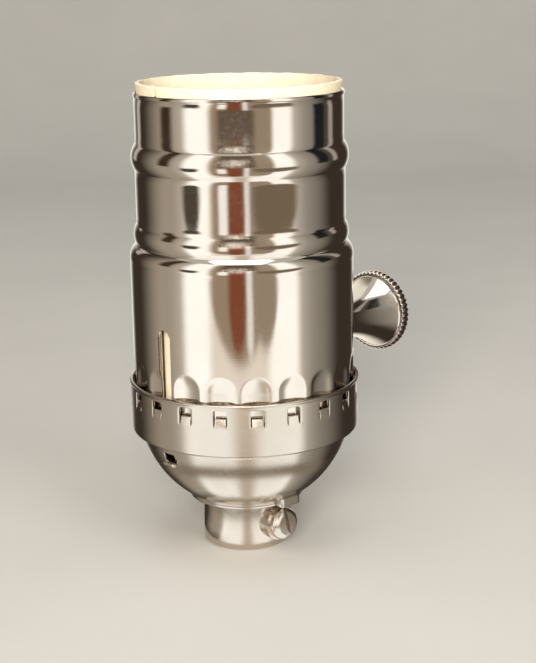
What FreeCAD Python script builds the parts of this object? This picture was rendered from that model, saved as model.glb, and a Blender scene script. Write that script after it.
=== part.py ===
"""Turn-knob lamp holder for a medium (E26) screw base: a drawn shell and cap round a porcelain switch.

The frame: origin at the centre of the neck's lower end, +Z up the lamp axis, +X along the knob's shaft.
All lengths are millimetres and all angles degrees. Each function below makes one named sub-part.
"""
import FreeCAD, Part
import math
import os

V = FreeCAD.Vector
UP = V(0, 0, 1)
AXIS_X = V(1, 0, 0)
ORIGIN = V(0, 0, 0)

# ---------------------------------------------------------------- clearances
FIT = 0.05              # running fit, each side
SEAT = 0.10             # loose fit of a piece in its pocket, each side
AIR = 0.20              # air between a turning piece and what stands beside it
HEAD_EDGE = 0.35        # rounding of the small heads
CAP_FIT = 0.15          # air between the shell and the cap's band
LAMP_AIR = 1.6          # insulating space between the screw shell and the shell's liner
BLOCK_AIR = 0.25        # between the porcelain and the liner

# ---------------------------------------------------------------- lamp side
THREAD_ROOT_R = 13.2    # inside of the rolled thread at its largest
THREAD_DEPTH = 0.75     # from there in to its smallest
THREAD_PITCH = 3.63
THREAD_TURNS = 5
SCREW_WALL = 0.35
SCREW_MOUTH_L = 2.4     # plain mouth above the thread
SCREW_FLOOR_LEDGE = 4.95  # width of the screw shell's floor, from its outer wall in
SCREW_FLOOR_EDGE = 0.9
RIVET_R = 1.1
RIVET_HEAD_R = 1.9
RIVET_HEAD_H = 0.7
RIVET_L = 4.0
RIVET_EDGE = 3.05       # from the screw shell's outside in to its rivets
TONGUE_W = 4.6
TONGUE_T = 0.5
TONGUE_RISE = 2.9
TONGUE_FOOT = 1.9       # from its rivet out to the end of its foot
TONGUE_BEND = 2.2       # from its rivet in to the bend
TONGUE_CROWN = 0.9      # half length of its crown
TONGUE_CROWN_H = 0.35
TONGUE_TIP = 3.4        # reach of its tip beyond the lamp axis
TONGUE_TIP_DROP = 1.0
CONTACT_RIVET_Y = 4.5
CONTACT_RIVET_R = 0.9
CONTACT_HEAD_R = 1.6
BINDING_LAP = 2.0       # how far a strap laps past the middle of its rivet

# ---------------------------------------------------------------- radii of the shell and its liner
SHELL_WALL = 0.4
LINER_T = 0.6
LINER_IN_R = THREAD_ROOT_R + SCREW_WALL + LAMP_AIR
LINER_R = LINER_IN_R + LINER_T
UPPER_R = LINER_R + FIT + SHELL_WALL
BODY_STEP = 1.4         # how far the straight lower body stands out from the upper part
MIDDLE_STEP = 0.2
BEAD_RISE = 0.75
SHOULDER_RISE = 0.7
SHOULDER_DIP_RISE = 0.35
SHELL_R = UPPER_R + BODY_STEP
MID_R = UPPER_R + MIDDLE_STEP
BEAD_R = UPPER_R + BEAD_RISE
SHOULDER_R = UPPER_R + SHOULDER_RISE
SHOULDER_DIP_R = UPPER_R + SHOULDER_DIP_RISE
RIM_ROLL = 0.12         # faint roll at the upper rim and at the body's upper edge
RIM_H = 0.8             # height of that roll at the rim
BODY_EDGE_H = 1.3       # and at the body
FLUTE_DEPTH = 0.45      # round-topped flutes pressed in above the cap
FLUTE_W = 4.4
SLIT_W = 2.6            # slit opposite the knob
KNOB_SLOT_W = 5.2       # slot that lets the shell pass the knob's shaft
LINER_SPREAD = 0.3      # how far its upper edge opens above the shell
LINER_SPREAD_AT = 0.3   # height above the shell's rim where that starts
LINER_SEAM = 0.45       # gap where its ends meet

# ---------------------------------------------------------------- neck (1/8 pipe bushing)
STEM_BORE_R = 4.65      # wall of the pipe thread's hole
NECK_WALL = 2.4
NECK_R = STEM_BORE_R + NECK_WALL
NECK_LEN = 7.8          # from the mouth up to the cap
NECK_FLANGE_W = 1.15    # flange that is spun over inside the cap
NECK_FLANGE_R = NECK_R + NECK_FLANGE_W
NECK_FLANGE_T = 1.1
NECK_EDGE = 0.35        # turned edge at the mouth

# ---------------------------------------------------------------- set screw
SET_AZ = 264.0          # direction of the screw, seen from above
SET_Z = 4.6
SET_R = 2.05            # shank
SET_HEAD_RIM = 0.55     # how far the head stands over the shank
SET_HEAD_R = SET_R + SET_HEAD_RIM
SET_HEAD_H = 1.7
SET_HEAD_DOME = 1.0
SET_SLOT_W = 0.7
SET_SLOT_D = 0.9
SET_SLOT_LEAN = 12.0    # how far the slot leans from upright
BOSS_RIM = 0.35
BOSS_R = SET_HEAD_R + BOSS_RIM   # round pad that the head stands on
BOSS_H = 1.25
BOSS_REACH = NECK_R + BOSS_H     # face of the pad, from the lamp axis
SET_TIP_GAP = 0.25      # from the thread's wall back to the screw's point

# ---------------------------------------------------------------- cap
CAP_WALL = 0.5
BAND_R = SHELL_R + CAP_FIT + CAP_WALL   # straight band that takes the shell
BAND_H = 8.3
BAND_FLARE = 0.2        # how far the rim opens
BAND_EDGE_R = 0.6       # rounding at the band's lower edge
GROOVE_DEPTH = 1.5      # from the band in to the groove above the bowl
GROOVE_H = 0.54
GROOVE_R = BAND_R - GROOVE_DEPTH
BOWL_STEP = 0.95
BOWL_R = BAND_R - BOWL_STEP      # radius of the round bowl
LIP_LEDGE = 1.1         # flat foot of the bowl, out from the neck's flange
LIP_H = 0.9             # its height, up to the bowl
LIP_R = NECK_FLANGE_R + LIP_LEDGE
LIP_EDGE_R = 0.4
BOWL_Z = NECK_LEN + LIP_H + math.sqrt(BOWL_R ** 2 - LIP_R ** 2)   # height of the bowl's centre
BAND_LOW = BOWL_Z - math.sqrt(BOWL_R ** 2 - GROOVE_R ** 2) + GROOVE_H
BAND_TOP = BAND_LOW + BAND_H
WINDOW_COUNT = 20
WINDOW_AZ = 13.5        # direction of the first window
WINDOW_W = 2.1
WINDOW_H = 2.7
WINDOW_DROP = 0.7       # from the rim down to the windows
WINDOW_TOP = BAND_TOP - WINDOW_DROP
WINDOW_LOW = WINDOW_TOP - WINDOW_H
TONGUE_L = 1.35         # tongue bent in at each window
TONGUE_TOP = WINDOW_LOW + TONGUE_L
TONGUE_IN = 0.3         # how far its end stands inside the band
HOLE_AZ = 177.0         # square hole in the bowl, below the shell's slit
HOLE_W = 2.3
HOLE_H = 1.6
HOLE_DROP = 1.2         # from the band down to the hole
HOLE_TOP = BAND_LOW - HOLE_DROP
HOLE_LOW = HOLE_TOP - HOLE_H
HOLE_LIP = 0.7          # how far the lip below the hole is bent out
GUARD_W = 3.8           # tab of the cap that stands out over the set screw
GUARD_H = 1.7
GUARD_LIFT = 0.2        # from the cap's foot up to the tab
GUARD_LOW = NECK_LEN + GUARD_LIFT
GUARD_TOP = GUARD_LOW + GUARD_H
GUARD_OVER = 2.6        # how far it reaches past the pad
GUARD_REACH = BOSS_REACH + GUARD_OVER
CAP_LINER_T = 0.6
CAP_LINER_TOP = HOLE_LOW - CAP_WALL

# ---------------------------------------------------------------- heights, from the cap's ledge up
FOOT = BAND_LOW + CAP_WALL       # ledge on which the shell and the porcelain stand
SHAFT_LIFT = 12.1
KNOB_Z = FOOT + SHAFT_LIFT
FLUTE_OVER = 4.0        # how far the flutes run up above the cap
FLUTE_TOP = BAND_TOP + FLUTE_OVER
SLIT_OVER = 6.3         # how far the slit runs up past the shaft
SLIT_TOP = KNOB_Z + SLIT_OVER
BRIDGE_R = 5.6          # ears of the switch's bridge, the widest thing that turns
CHAMBER_OVER = 0.8      # room above the bridge
CHAMBER_UNDER = 0.9     # and below it
BLOCK_SPLIT = KNOB_Z + BRIDGE_R + CHAMBER_OVER    # joint between the two porcelain blocks
CHAMBER_FLOOR = KNOB_Z - BRIDGE_R - CHAMBER_UNDER
CONTACT_BLOCK_H = 8.0
BLOCK_TOP = BLOCK_SPLIT + CONTACT_BLOCK_H         # seat of the screw shell
BODY_OVER = 0.8
BODY_TOP = BLOCK_TOP + BODY_OVER
DIP_H = 2.5             # from the body's edge up to the hollow of the shoulder
SHOULDER_H = 3.2        # the shoulder's bead above it
SHOULDER_DIP_Z = BODY_TOP + DIP_H
SHOULDER_TOP = SHOULDER_DIP_Z + SHOULDER_H
MIDDLE_H = 8.3
BEAD_H = 4.2
BEAD_CREST = 1.89       # from the bead's foot up to its crest
UPPER_H = 7.7
BEAD_LOW = SHOULDER_TOP + MIDDLE_H
BEAD_TOP = BEAD_LOW + BEAD_H
SHELL_TOP = BEAD_TOP + UPPER_H
LINER_OVER = 1.6        # how far the liner stands above the rim
LINER_TOP = SHELL_TOP + LINER_OVER
MOUTH_DROP = 1.6        # from the rim down to the screw shell's mouth
SCREW_MOUTH = SHELL_TOP - MOUTH_DROP

# ---------------------------------------------------------------- knob and shaft
SHAFT_R = 2.0
SHAFT_SQUARE = 2.8
JOURNAL_R = 1.3
JOURNAL_L = 2.4
STUD_R = 1.7            # threaded end in the knob
KNOB_STUD_L = 7.0
KNOB_AIR = 1.7          # between the shell and the knob
KNOB_IN = SHELL_R + KNOB_AIR     # inner end of the knob, from the lamp axis
KNOB_L = 13.9           # from there to the back of the rim
KNOB_RIM = KNOB_IN + KNOB_L
KNOB_R = 7.1
KNOB_NECK_R = 2.9
KNOB_NECK_L = 3.2
FLARE_BOW_L = 6.4       # a point on the trumpet back: along it from the neck
FLARE_BOW_RISE = 1.05   # and out from the neck
KNOB_RIM_T = 1.7
KNOB_DOME = 0.9
KNOB_GROOVE = 0.3       # turned line between the rim and the dome
KNOB_FLAT_R = 0.6       # small flat in the middle of the dome
KNOB_EDGE = 0.3         # bevel at the knob's inner end
BEAD_COUNT = 48         # beads round the knob's edge
BEAD_DEPTH = 0.3
BEAD_EDGE = 0.3         # bevel on both sides of the beads
BEAD_LAND = 0.2         # flat between the beads and the back

# ---------------------------------------------------------------- switch
ROTOR_HUB_R = 2.5
ROTOR_BARREL_R = 4.2
ROTOR_CAM_R = 5.0
ROTOR_FLAT = 4.65
ROTOR_END = 5.7         # half length
CAM_START = 2.6
COLLAR_GAP = 0.4
BRIDGE_T = 1.2
BRIDGE_W = 4.0
STRIP_T = 0.6           # brass strip of every terminal piece
CONTACT_W = 4.4
CONTACT_DOWN = 3.1      # reach of the fixed contacts below the shaft's axis
CONTACT_UP = 3.9        # and above it
CONTACT_FOOT = KNOB_Z - CONTACT_DOWN
CONTACT_HEAD = KNOB_Z + CONTACT_UP
DETENT_T = 0.4
DETENT_W = 2.6
BUSH_WALL = 1.25
BUSH_R = SHAFT_R + FIT + BUSH_WALL
BUSH_RIM = 1.0
BUSH_FLANGE_R = BUSH_R + BUSH_RIM
BUSH_FLANGE_T = 0.8
BUSH_RECESS = 0.35      # how far it stays inside the porcelain's wall

# ---------------------------------------------------------------- porcelain
BLOCK_R = LINER_IN_R - BLOCK_AIR
FLANGE_R = SHELL_R - SHELL_WALL - FLUTE_DEPTH - AIR
FLANGE_T = 1.5
BLOCK_EDGE = 0.8        # rounding of the upper block's rim
CHAMBER_END = 1.3       # room past the rotor's ends
CHAMBER_SIDE = 0.9      # room behind the fixed contacts
CHAMBER_X = ROTOR_END + CHAMBER_END                        # half sizes of the switch chamber
CHAMBER_Y = BRIDGE_R + AIR + STRIP_T + CHAMBER_SIDE
CHAMBER_EDGE = 0.8
BUSH_SEAT = 2.6         # porcelain between the chamber and the bush's barrel
BUSH_IN = CHAMBER_X + BUSH_SEAT
JOURNAL_END = 0.3       # room behind the journal

# ---------------------------------------------------------------- terminals
TERMINAL_DEPTH = 2.6    # pocket of the terminal plates in the block's wall
TERMINAL_Y = BLOCK_R - TERMINAL_DEPTH   # inner face of the terminal plates
TERMINAL_W = 8.4
TERMINAL_LIFT = 2.2     # above the ledge
TERMINAL_H = 6.8
TERMINAL_LOW = FOOT + TERMINAL_LIFT
TERMINAL_TOP = TERMINAL_LOW + TERMINAL_H
POCKET_OVER = 1.6       # finger room above the plates
STRAP_W = 5.0
BIND_R = 1.7
BIND_L = 3.4
BIND_HEAD_R = 2.9
BIND_HEAD_H = 1.3
BIND_DOME = 0.5
BIND_LIFT = 3.1         # from the plate's lower edge up to its screw
BIND_Z = TERMINAL_LOW + BIND_LIFT

# ---------------------------------------------------------------- screws through both blocks
TIE_R = 1.4
TIE_HEAD_R = 2.5
TIE_HEAD_H = 1.3
TIE_EDGE = 2.6          # from the block's side in to the screws
TIE_PITCH_R = BLOCK_R - TIE_EDGE
TIE_AZ = (45.0, 225.0)
TIE_DOWN = 2.0          # from the seat of the screw shell down to the screws' ends
TIE_TOP = BLOCK_TOP - TIE_DOWN
SCREW_SLOT_W = 0.7      # slots of the small screws
SCREW_SLOT_D = 0.7
RIVET_Y = THREAD_ROOT_R + SCREW_WALL - RIVET_EDGE


# ================================================================ helpers
def tube(r_out, r_in, low, high, at=ORIGIN, along=UP):
    """Straight tube or, with r_in 0, a plain cylinder, from low to high along an axis."""
    start = at + along * low
    body = Part.makeCylinder(r_out, high - low, start, along)
    if r_in > 0:
        body = body.cut(Part.makeCylinder(r_in, high - low, start, along))
    return body


def box(x0, x1, y0, y1, z0, z1):
    """Box between two corners."""
    return Part.makeBox(x1 - x0, y1 - y0, z1 - z0, V(x0, y0, z0))


def turned(shape, azimuth):
    """Copy of a shape turned about the lamp axis."""
    copy = shape.copy()
    copy.rotate(ORIGIN, UP, azimuth)
    return copy


def around(shape, count, first=0.0):
    """Copies of a shape spaced evenly about the lamp axis."""
    return [turned(shape, first + k * 360.0 / count) for k in range(count)]


def path(*steps):
    """Open wire in the XZ plane through (r, z) points; a step (mid, end) is an arc through mid."""
    here = steps[0]
    edges = []
    for step in steps[1:]:
        if isinstance(step[0], tuple):
            mid, end = step
            curve = Part.Arc(V(here[0], 0, here[1]), V(mid[0], 0, mid[1]), V(end[0], 0, end[1]))
            edges.append(curve.toShape())
            here = end
        else:
            edges.append(Part.makeLine(V(here[0], 0, here[1]), V(step[0], 0, step[1])))
            here = step
    return Part.Wire(edges)


def revolved(wire, about=UP):
    """Solid of revolution of a closed wire in the XZ plane."""
    return Part.Face(wire).revolve(ORIGIN, about, 360)


def spun_sheet(wire, wall):
    """Sheet of revolution about Z: the wire is one side, and the wall lies on the side of the axis."""
    strip = wire.makeOffset2D(wall, 2, True, True, False)
    return strip.revolve(ORIGIN, UP, 360)


def arc_mid(centre, radius, start, end):
    """Point halfway along a circular arc between two angles, for path()."""
    angle = math.radians((start + end) / 2.0)
    return (centre[0] + radius * math.cos(angle), centre[1] + radius * math.sin(angle))


def headed_pin(shank_r, length, head_r, head_h, at, along, dome=HEAD_EDGE):
    """Pin with a domed head: the head's underside is at the given point, the shank runs against along."""
    shank = Part.makeCylinder(shank_r, length, at - along * length, along)
    head = Part.makeCylinder(head_r, head_h, at, along)
    rim = [e for e in head.Edges if abs((e.CenterOfMass - at).dot(along) - head_h) < 1e-6]
    head = head.makeFillet(min(dome, head_h * 0.6), rim)
    return shank.fuse(head).removeSplitter()


def slotted(screw, at, along, across, width, depth, span):
    """Screw with a straight slot cut in the top of its head; at is the middle of the head's top."""
    third = along.cross(across)
    corner = at - across * (span / 2.0) - third * (width / 2.0) - along * depth
    edges = [corner, corner + across * span, corner + across * span + third * width, corner + third * width]
    blade = Part.Face(Part.makePolygon(edges + edges[:1])).extrude(along * (depth * 2.0))
    return screw.cut(blade)


def radial(azimuth):
    """Unit vector that points away from the lamp axis."""
    angle = math.radians(azimuth)
    return V(math.cos(angle), math.sin(angle), 0)


def stadium(width, low, top, reach):
    """Cutter for an open-ended slot towards +X: its top is half round, its foot is open."""
    radius = width / 2.0
    straight = box(0, reach, -radius, radius, low, top - radius)
    return straight.fuse(Part.makeCylinder(radius, reach, V(0, 0, top - radius), AXIS_X))


# ================================================================ outside
def sphere_r(z, radius=BOWL_R):
    """Radius of the bowl's sphere at a height."""
    return math.sqrt(radius ** 2 - (BOWL_Z - z) ** 2)


def sphere_z(r, radius=BOWL_R):
    """Height of the bowl's sphere at a radius from the lamp axis, on its lower half."""
    return BOWL_Z - math.sqrt(radius ** 2 - r ** 2)


def cap_outline():
    """Outer line of the cap, from the neck's hole up to the rim."""
    lip_top = sphere_z(LIP_R)
    bowl_top = sphere_z(GROOVE_R)
    low = math.degrees(math.atan2(lip_top - BOWL_Z, LIP_R))
    high = math.degrees(math.atan2(bowl_top - BOWL_Z, GROOVE_R))
    edge = (BAND_R - BAND_EDGE_R, BAND_LOW + BAND_EDGE_R)
    lip = (LIP_R - LIP_EDGE_R, NECK_LEN + LIP_EDGE_R)
    return path(
        (NECK_R, NECK_LEN),
        (LIP_R - LIP_EDGE_R, NECK_LEN),
        (arc_mid(lip, LIP_EDGE_R, -90, 0), (LIP_R, NECK_LEN + LIP_EDGE_R)),
        (LIP_R, lip_top),
        (arc_mid((0, BOWL_Z), BOWL_R, low, high), (GROOVE_R, bowl_top)),
        (GROOVE_R, BAND_LOW),
        (BAND_R - BAND_EDGE_R, BAND_LOW),
        (arc_mid(edge, BAND_EDGE_R, -90, 0), (BAND_R, BAND_LOW + BAND_EDGE_R)),
        (BAND_R, BAND_TOP - 2 * BAND_FLARE),
        (BAND_R + BAND_FLARE, BAND_TOP),
    )


def cap():
    """Drawn cap: bowl, band with a ring of lanced windows, square hole and guard tab."""
    body = spun_sheet(cap_outline(), CAP_WALL)
    half = WINDOW_W / 2
    opening = box(GROOVE_R, BAND_R + CAP_WALL, -half, half, WINDOW_LOW, WINDOW_TOP)
    inside = BAND_R - CAP_WALL
    tongue_end = inside - TONGUE_IN
    side = Part.makePolygon([
        V(inside, -WINDOW_W / 2, WINDOW_LOW), V(BAND_R, -WINDOW_W / 2, WINDOW_LOW),
        V(tongue_end + CAP_WALL, -WINDOW_W / 2, TONGUE_TOP), V(tongue_end, -WINDOW_W / 2, TONGUE_TOP),
        V(inside, -WINDOW_W / 2, WINDOW_LOW)])
    tongue = Part.Face(side).extrude(V(0, WINDOW_W, 0))
    body = body.cut(around(opening, WINDOW_COUNT, WINDOW_AZ))
    body = body.fuse(around(tongue, WINDOW_COUNT, WINDOW_AZ))
    hole = box(GROOVE_R / 2, BAND_R, -HOLE_W / 2, HOLE_W / 2, HOLE_LOW, HOLE_TOP)
    body = body.cut(turned(hole, HOLE_AZ))
    body = body.fuse(turned(hole_lip(), HOLE_AZ))
    half = GUARD_W / 2
    guard = box(LIP_R - CAP_WALL / 2, GUARD_REACH, -half, half, GUARD_LOW, GUARD_TOP)
    guard = guard.cut(Part.makeSphere(BOWL_R - CAP_WALL / 2, V(0, 0, BOWL_Z)))
    return body.fuse(turned(guard, SET_AZ)).removeSplitter()


def hole_lip():
    """Lip bent out below the square hole, as wide as the hole."""
    root = sphere_r(HOLE_LOW)
    inner = sphere_r(HOLE_LOW, BOWL_R - CAP_WALL)
    side = Part.makePolygon([
        V(inner, -HOLE_W / 2, HOLE_LOW - CAP_WALL), V(root, -HOLE_W / 2, HOLE_LOW - CAP_WALL),
        V(root + HOLE_LIP, -HOLE_W / 2, HOLE_LOW + HOLE_LIP / 2),
        V(root + HOLE_LIP - CAP_WALL / 2, -HOLE_W / 2, HOLE_LOW + HOLE_LIP / 2 + CAP_WALL / 2),
        V(inner, -HOLE_W / 2, HOLE_LOW - CAP_WALL)])
    return Part.Face(side).extrude(V(0, HOLE_W, 0))


def cap_liner():
    """Fibre cup that lies against the inside of the bowl."""
    outer = BOWL_R - CAP_WALL - SEAT
    low = NECK_LEN + CAP_WALL + NECK_FLANGE_T + SEAT
    shell = Part.makeSphere(outer, V(0, 0, BOWL_Z)).cut(Part.makeSphere(outer - CAP_LINER_T, V(0, 0, BOWL_Z)))
    return shell.common(tube(BOWL_R, 0, low, CAP_LINER_TOP))


def neck_bushing():
    """Threaded bushing: neck, flange inside the cap and the pad for the set screw."""
    flange_low = NECK_LEN + CAP_WALL
    body = Part.makeCylinder(NECK_R, flange_low)
    body = body.makeChamfer(NECK_EDGE, [e for e in body.Edges if e.BoundBox.ZMax < 1e-6])
    body = body.fuse(tube(NECK_FLANGE_R, 0, flange_low, flange_low + NECK_FLANGE_T))
    boss = Part.makeCylinder(BOSS_R, BOSS_REACH, V(0, 0, SET_Z), radial(SET_AZ))
    body = body.fuse(boss)
    body = body.cut(Part.makeCylinder(STEM_BORE_R, flange_low + NECK_FLANGE_T))
    body = body.cut(Part.makeCylinder(SET_R + FIT, BOSS_REACH + BOSS_H, V(0, 0, SET_Z), radial(SET_AZ)))
    return body.removeSplitter()


def set_screw():
    """Slotted screw that locks the holder on its pipe."""
    out = radial(SET_AZ)
    seat = out * BOSS_REACH + V(0, 0, SET_Z)
    length = BOSS_REACH - STEM_BORE_R - SET_TIP_GAP
    screw = headed_pin(SET_R, length, SET_HEAD_R, SET_HEAD_H, seat, out, SET_HEAD_DOME)
    lean = FreeCAD.Rotation(out, SET_SLOT_LEAN).multVec(UP)
    return slotted(screw, seat + out * SET_HEAD_H, out, lean, SET_SLOT_W, SET_SLOT_D, SET_HEAD_R * 3)


def shell_outline():
    """Outer line of the shell from its foot to the rim."""
    return path(
        (SHELL_R, FOOT),
        (SHELL_R, BODY_TOP),
        ((SHELL_R - RIM_ROLL, BODY_TOP + BODY_EDGE_H), (SHOULDER_DIP_R, SHOULDER_DIP_Z)),
        ((SHOULDER_R, (SHOULDER_DIP_Z + SHOULDER_TOP) / 2), (MID_R, SHOULDER_TOP)),
        (MID_R, BEAD_LOW),
        ((BEAD_R, BEAD_LOW + BEAD_CREST), (UPPER_R, BEAD_TOP)),
        (UPPER_R, SHELL_TOP - RIM_H),
        ((UPPER_R + RIM_ROLL, SHELL_TOP - RIM_H / 2), (UPPER_R, SHELL_TOP)),
    )


def flute(wall):
    """Cutter for one pressed flute towards +X; wall makes it larger for the inner side."""
    half = FLUTE_W / 2.0
    sagitta = FLUTE_DEPTH - (SHELL_R - math.sqrt(SHELL_R ** 2 - half ** 2))
    radius = (half ** 2 + sagitta ** 2) / (2.0 * sagitta)
    centre = SHELL_R - FLUTE_DEPTH + radius
    top = FLUTE_TOP - half
    round_top = Part.makeSphere(radius + wall, V(centre, 0, top))
    straight = Part.makeCylinder(radius + wall, top - BAND_LOW, V(centre, 0, BAND_LOW))
    return round_top.fuse(straight)


def shell_solid(inner):
    """Filled outside of the shell or, for inner, the filled space inside its wall."""
    line = shell_outline()
    if inner:
        line = line.makeOffset2D(SHELL_WALL, 2, False, True, False)
    ends = sorted((v.Point for v in line.OrderedVertexes), key=lambda p: p.z)
    low, high = ends[0], ends[-1]
    top = V(high.x, 0, SHELL_TOP)
    corners = [high, top] if high.z < SHELL_TOP - 1e-6 else [high]
    close = Part.makePolygon(corners + [V(0, 0, SHELL_TOP), V(0, 0, low.z), low])
    body = revolved(Part.Wire(Part.__sortEdges__(line.Edges + close.Edges)))
    return body.cut(around(flute(SHELL_WALL if inner else 0.0), WINDOW_COUNT, WINDOW_AZ))


def outer_shell():
    """Drawn shell: beads, ring of flutes, slot for the knob's shaft and slit opposite."""
    body = shell_solid(False).cut(shell_solid(True))
    body = body.cut(stadium(KNOB_SLOT_W, BAND_LOW, KNOB_Z + KNOB_SLOT_W / 2 + SEAT, BAND_R))
    return body.cut(turned(stadium(SLIT_W, BAND_LOW, SLIT_TOP, BAND_R), 180))


def shell_liner():
    """Rolled fibre tube inside the shell, open at its seam and round the knob's shaft."""
    low = FOOT + FLANGE_T + SEAT
    top = LINER_TOP
    bend = SHELL_TOP + LINER_SPREAD_AT
    outer, inner = LINER_R, LINER_IN_R
    line = path((inner, low), (outer, low), (outer, bend), (outer + LINER_SPREAD, top),
                (inner + LINER_SPREAD, top), (inner, bend), (inner, low))
    body = revolved(line)
    body = body.cut(stadium(KNOB_SLOT_W - 2 * SEAT, FOOT, KNOB_Z + KNOB_SLOT_W / 2, BAND_R))
    return body.cut(box(-BAND_R, 0, -LINER_SEAM / 2, LINER_SEAM / 2, FOOT, top + LINER_OVER))


# ================================================================ knob and shaft
def knob():
    """Turned knob: slim neck that flares to a beaded disc with a low dome."""
    rim_out = KNOB_RIM + KNOB_RIM_T
    neck_end = KNOB_IN + KNOB_NECK_L
    flare_r = KNOB_R - BEAD_DEPTH - BEAD_EDGE - BEAD_LAND
    foot_r = flare_r - KNOB_GROOVE
    rise = KNOB_DOME + KNOB_GROOVE
    dome = (rise ** 2 + foot_r ** 2) / (2.0 * rise)
    lean = math.degrees(math.asin(foot_r / dome))
    flat = math.degrees(math.asin(KNOB_FLAT_R / dome))
    top = (rim_out + KNOB_DOME - dome + dome * math.cos(math.radians(flat)), KNOB_FLAT_R)
    line = path(
        (KNOB_IN, 0), (KNOB_IN, KNOB_NECK_R - KNOB_EDGE), (KNOB_IN + KNOB_EDGE, KNOB_NECK_R),
        (neck_end, KNOB_NECK_R),
        ((neck_end + FLARE_BOW_L, KNOB_NECK_R + FLARE_BOW_RISE), (KNOB_RIM, flare_r)),
        (KNOB_RIM, KNOB_R - BEAD_EDGE), (KNOB_RIM + BEAD_EDGE, KNOB_R),
        (rim_out - BEAD_EDGE, KNOB_R), (rim_out, KNOB_R - BEAD_EDGE), (rim_out, flare_r),
        (rim_out - KNOB_GROOVE, foot_r),
        (arc_mid((rim_out + KNOB_DOME - dome, 0), dome, flat, lean), top),
        (top[0], 0),
        (KNOB_IN, 0))
    body = revolved(line, AXIS_X)
    step = 360.0 / BEAD_COUNT
    groove = Part.makeCylinder(BEAD_DEPTH, 3 * KNOB_RIM_T, V(KNOB_RIM - KNOB_RIM_T, 0, KNOB_R), AXIS_X)
    cutters = []
    for k in range(BEAD_COUNT):
        one = groove.copy()
        one.rotate(ORIGIN, AXIS_X, k * step)
        cutters.append(one)
    body = body.cut(cutters)
    body = body.cut(tube(STUD_R + FIT, 0, SHELL_R, KNOB_IN + KNOB_STUD_L, ORIGIN, AXIS_X))
    return body.translated(V(0, 0, KNOB_Z))


def switch_shaft():
    """Shaft: journal, square for the rotor, round through the bush, stud in the knob."""
    start = -ROTOR_END
    half = SHAFT_SQUARE / 2
    body = tube(JOURNAL_R, 0, JOURNAL_END - CHAMBER_X - JOURNAL_L, start, ORIGIN, AXIS_X)
    body = body.fuse(box(start, ROTOR_END + AIR, -half, half, -half, half))
    body = body.fuse(tube(SHAFT_R, 0, ROTOR_END + AIR, KNOB_IN - FIT, ORIGIN, AXIS_X))
    body = body.fuse(tube(STUD_R, 0, KNOB_IN - FIT, KNOB_IN + KNOB_STUD_L - FIT, ORIGIN, AXIS_X))
    return body.removeSplitter().translated(V(0, 0, KNOB_Z))


def square_hole(x0, x1):
    """Cutter for the shaft's square, with its fit."""
    half = SHAFT_SQUARE / 2 + FIT / 2
    return box(x0 - SHAFT_R, x1 + SHAFT_R, -half, half, -half, half)


def switch_rotor():
    """Insulating rotor: hub, barrel and a cam with four flats."""
    hub = tube(ROTOR_HUB_R, 0, -ROTOR_END, CAM_START, ORIGIN, AXIS_X)
    barrel = tube(ROTOR_BARREL_R, 0, BRIDGE_T / 2, CAM_START, ORIGIN, AXIS_X)
    cam = tube(ROTOR_CAM_R, 0, CAM_START, ROTOR_END, ORIGIN, AXIS_X)
    flat = ROTOR_FLAT
    cam = cam.common(box(0, 2 * ROTOR_END, -flat, flat, -flat, flat))
    body = hub.fuse([barrel, cam]).cut(square_hole(-ROTOR_END, ROTOR_END))
    return body.removeSplitter().translated(V(0, 0, KNOB_Z))


def rotor_bridge():
    """Brass bridge that joins the two fixed contacts: a ring with two ears."""
    half = BRIDGE_T / 2 - FIT / 2
    ring = tube(ROTOR_BARREL_R - COLLAR_GAP, 0, -half, half, ORIGIN, AXIS_X)
    ears = tube(BRIDGE_R, 0, -half, half, ORIGIN, AXIS_X)
    ears = ears.common(box(-half, half, -BRIDGE_R, BRIDGE_R, -BRIDGE_W / 2, BRIDGE_W / 2))
    body = ring.fuse(ears).cut(tube(ROTOR_HUB_R + FIT, 0, -BRIDGE_T, BRIDGE_T, ORIGIN, AXIS_X))
    return body.removeSplitter().translated(V(0, 0, KNOB_Z))


def rotor_collar():
    """Fibre collar that holds the bridge against the barrel."""
    body = tube(ROTOR_BARREL_R, ROTOR_HUB_R + FIT, COLLAR_GAP - ROTOR_END, -BRIDGE_T / 2, ORIGIN, AXIS_X)
    return body.translated(V(0, 0, KNOB_Z))


def shaft_bush():
    """Flanged brass bush that carries the shaft in the porcelain."""
    outer = BLOCK_R - BUSH_RECESS
    body = tube(BUSH_R, 0, BUSH_IN, outer, ORIGIN, AXIS_X)
    body = body.fuse(tube(BUSH_FLANGE_R, 0, BUSH_IN - BUSH_FLANGE_T, BUSH_IN, ORIGIN, AXIS_X))
    body = body.cut(tube(SHAFT_R + FIT, 0, CHAMBER_X, BLOCK_R, ORIGIN, AXIS_X))
    return body.removeSplitter().translated(V(0, 0, KNOB_Z))


def detent_spring():
    """Bowed flat spring under the cam; its ends stand on the chamber's floor."""
    crown = KNOB_Z - ROTOR_CAM_R - AIR
    half = CHAMBER_Y - SEAT - AIR
    low = CHAMBER_FLOOR
    lower = Part.Arc(V(0, -half, low), V(0, 0, crown - DETENT_T), V(0, half, low)).toShape()
    upper = lower.translated(UP * DETENT_T)
    ends = [Part.makeLine(V(0, s * half, low), V(0, s * half, low + DETENT_T)) for s in (-1, 1)]
    face = Part.Face(Part.Wire(Part.__sortEdges__([lower, upper] + ends)))
    start = (CAM_START + ROTOR_END - DETENT_W) / 2
    return face.extrude(V(DETENT_W, 0, 0)).translated(V(start, 0, 0))


# ================================================================ porcelain
def tie_places():
    """Centres of the two long screws."""
    return [radial(a) * TIE_PITCH_R for a in TIE_AZ]


def contact_face():
    """Distance of the fixed contacts from the shaft's axis."""
    return BRIDGE_R + AIR


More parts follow.
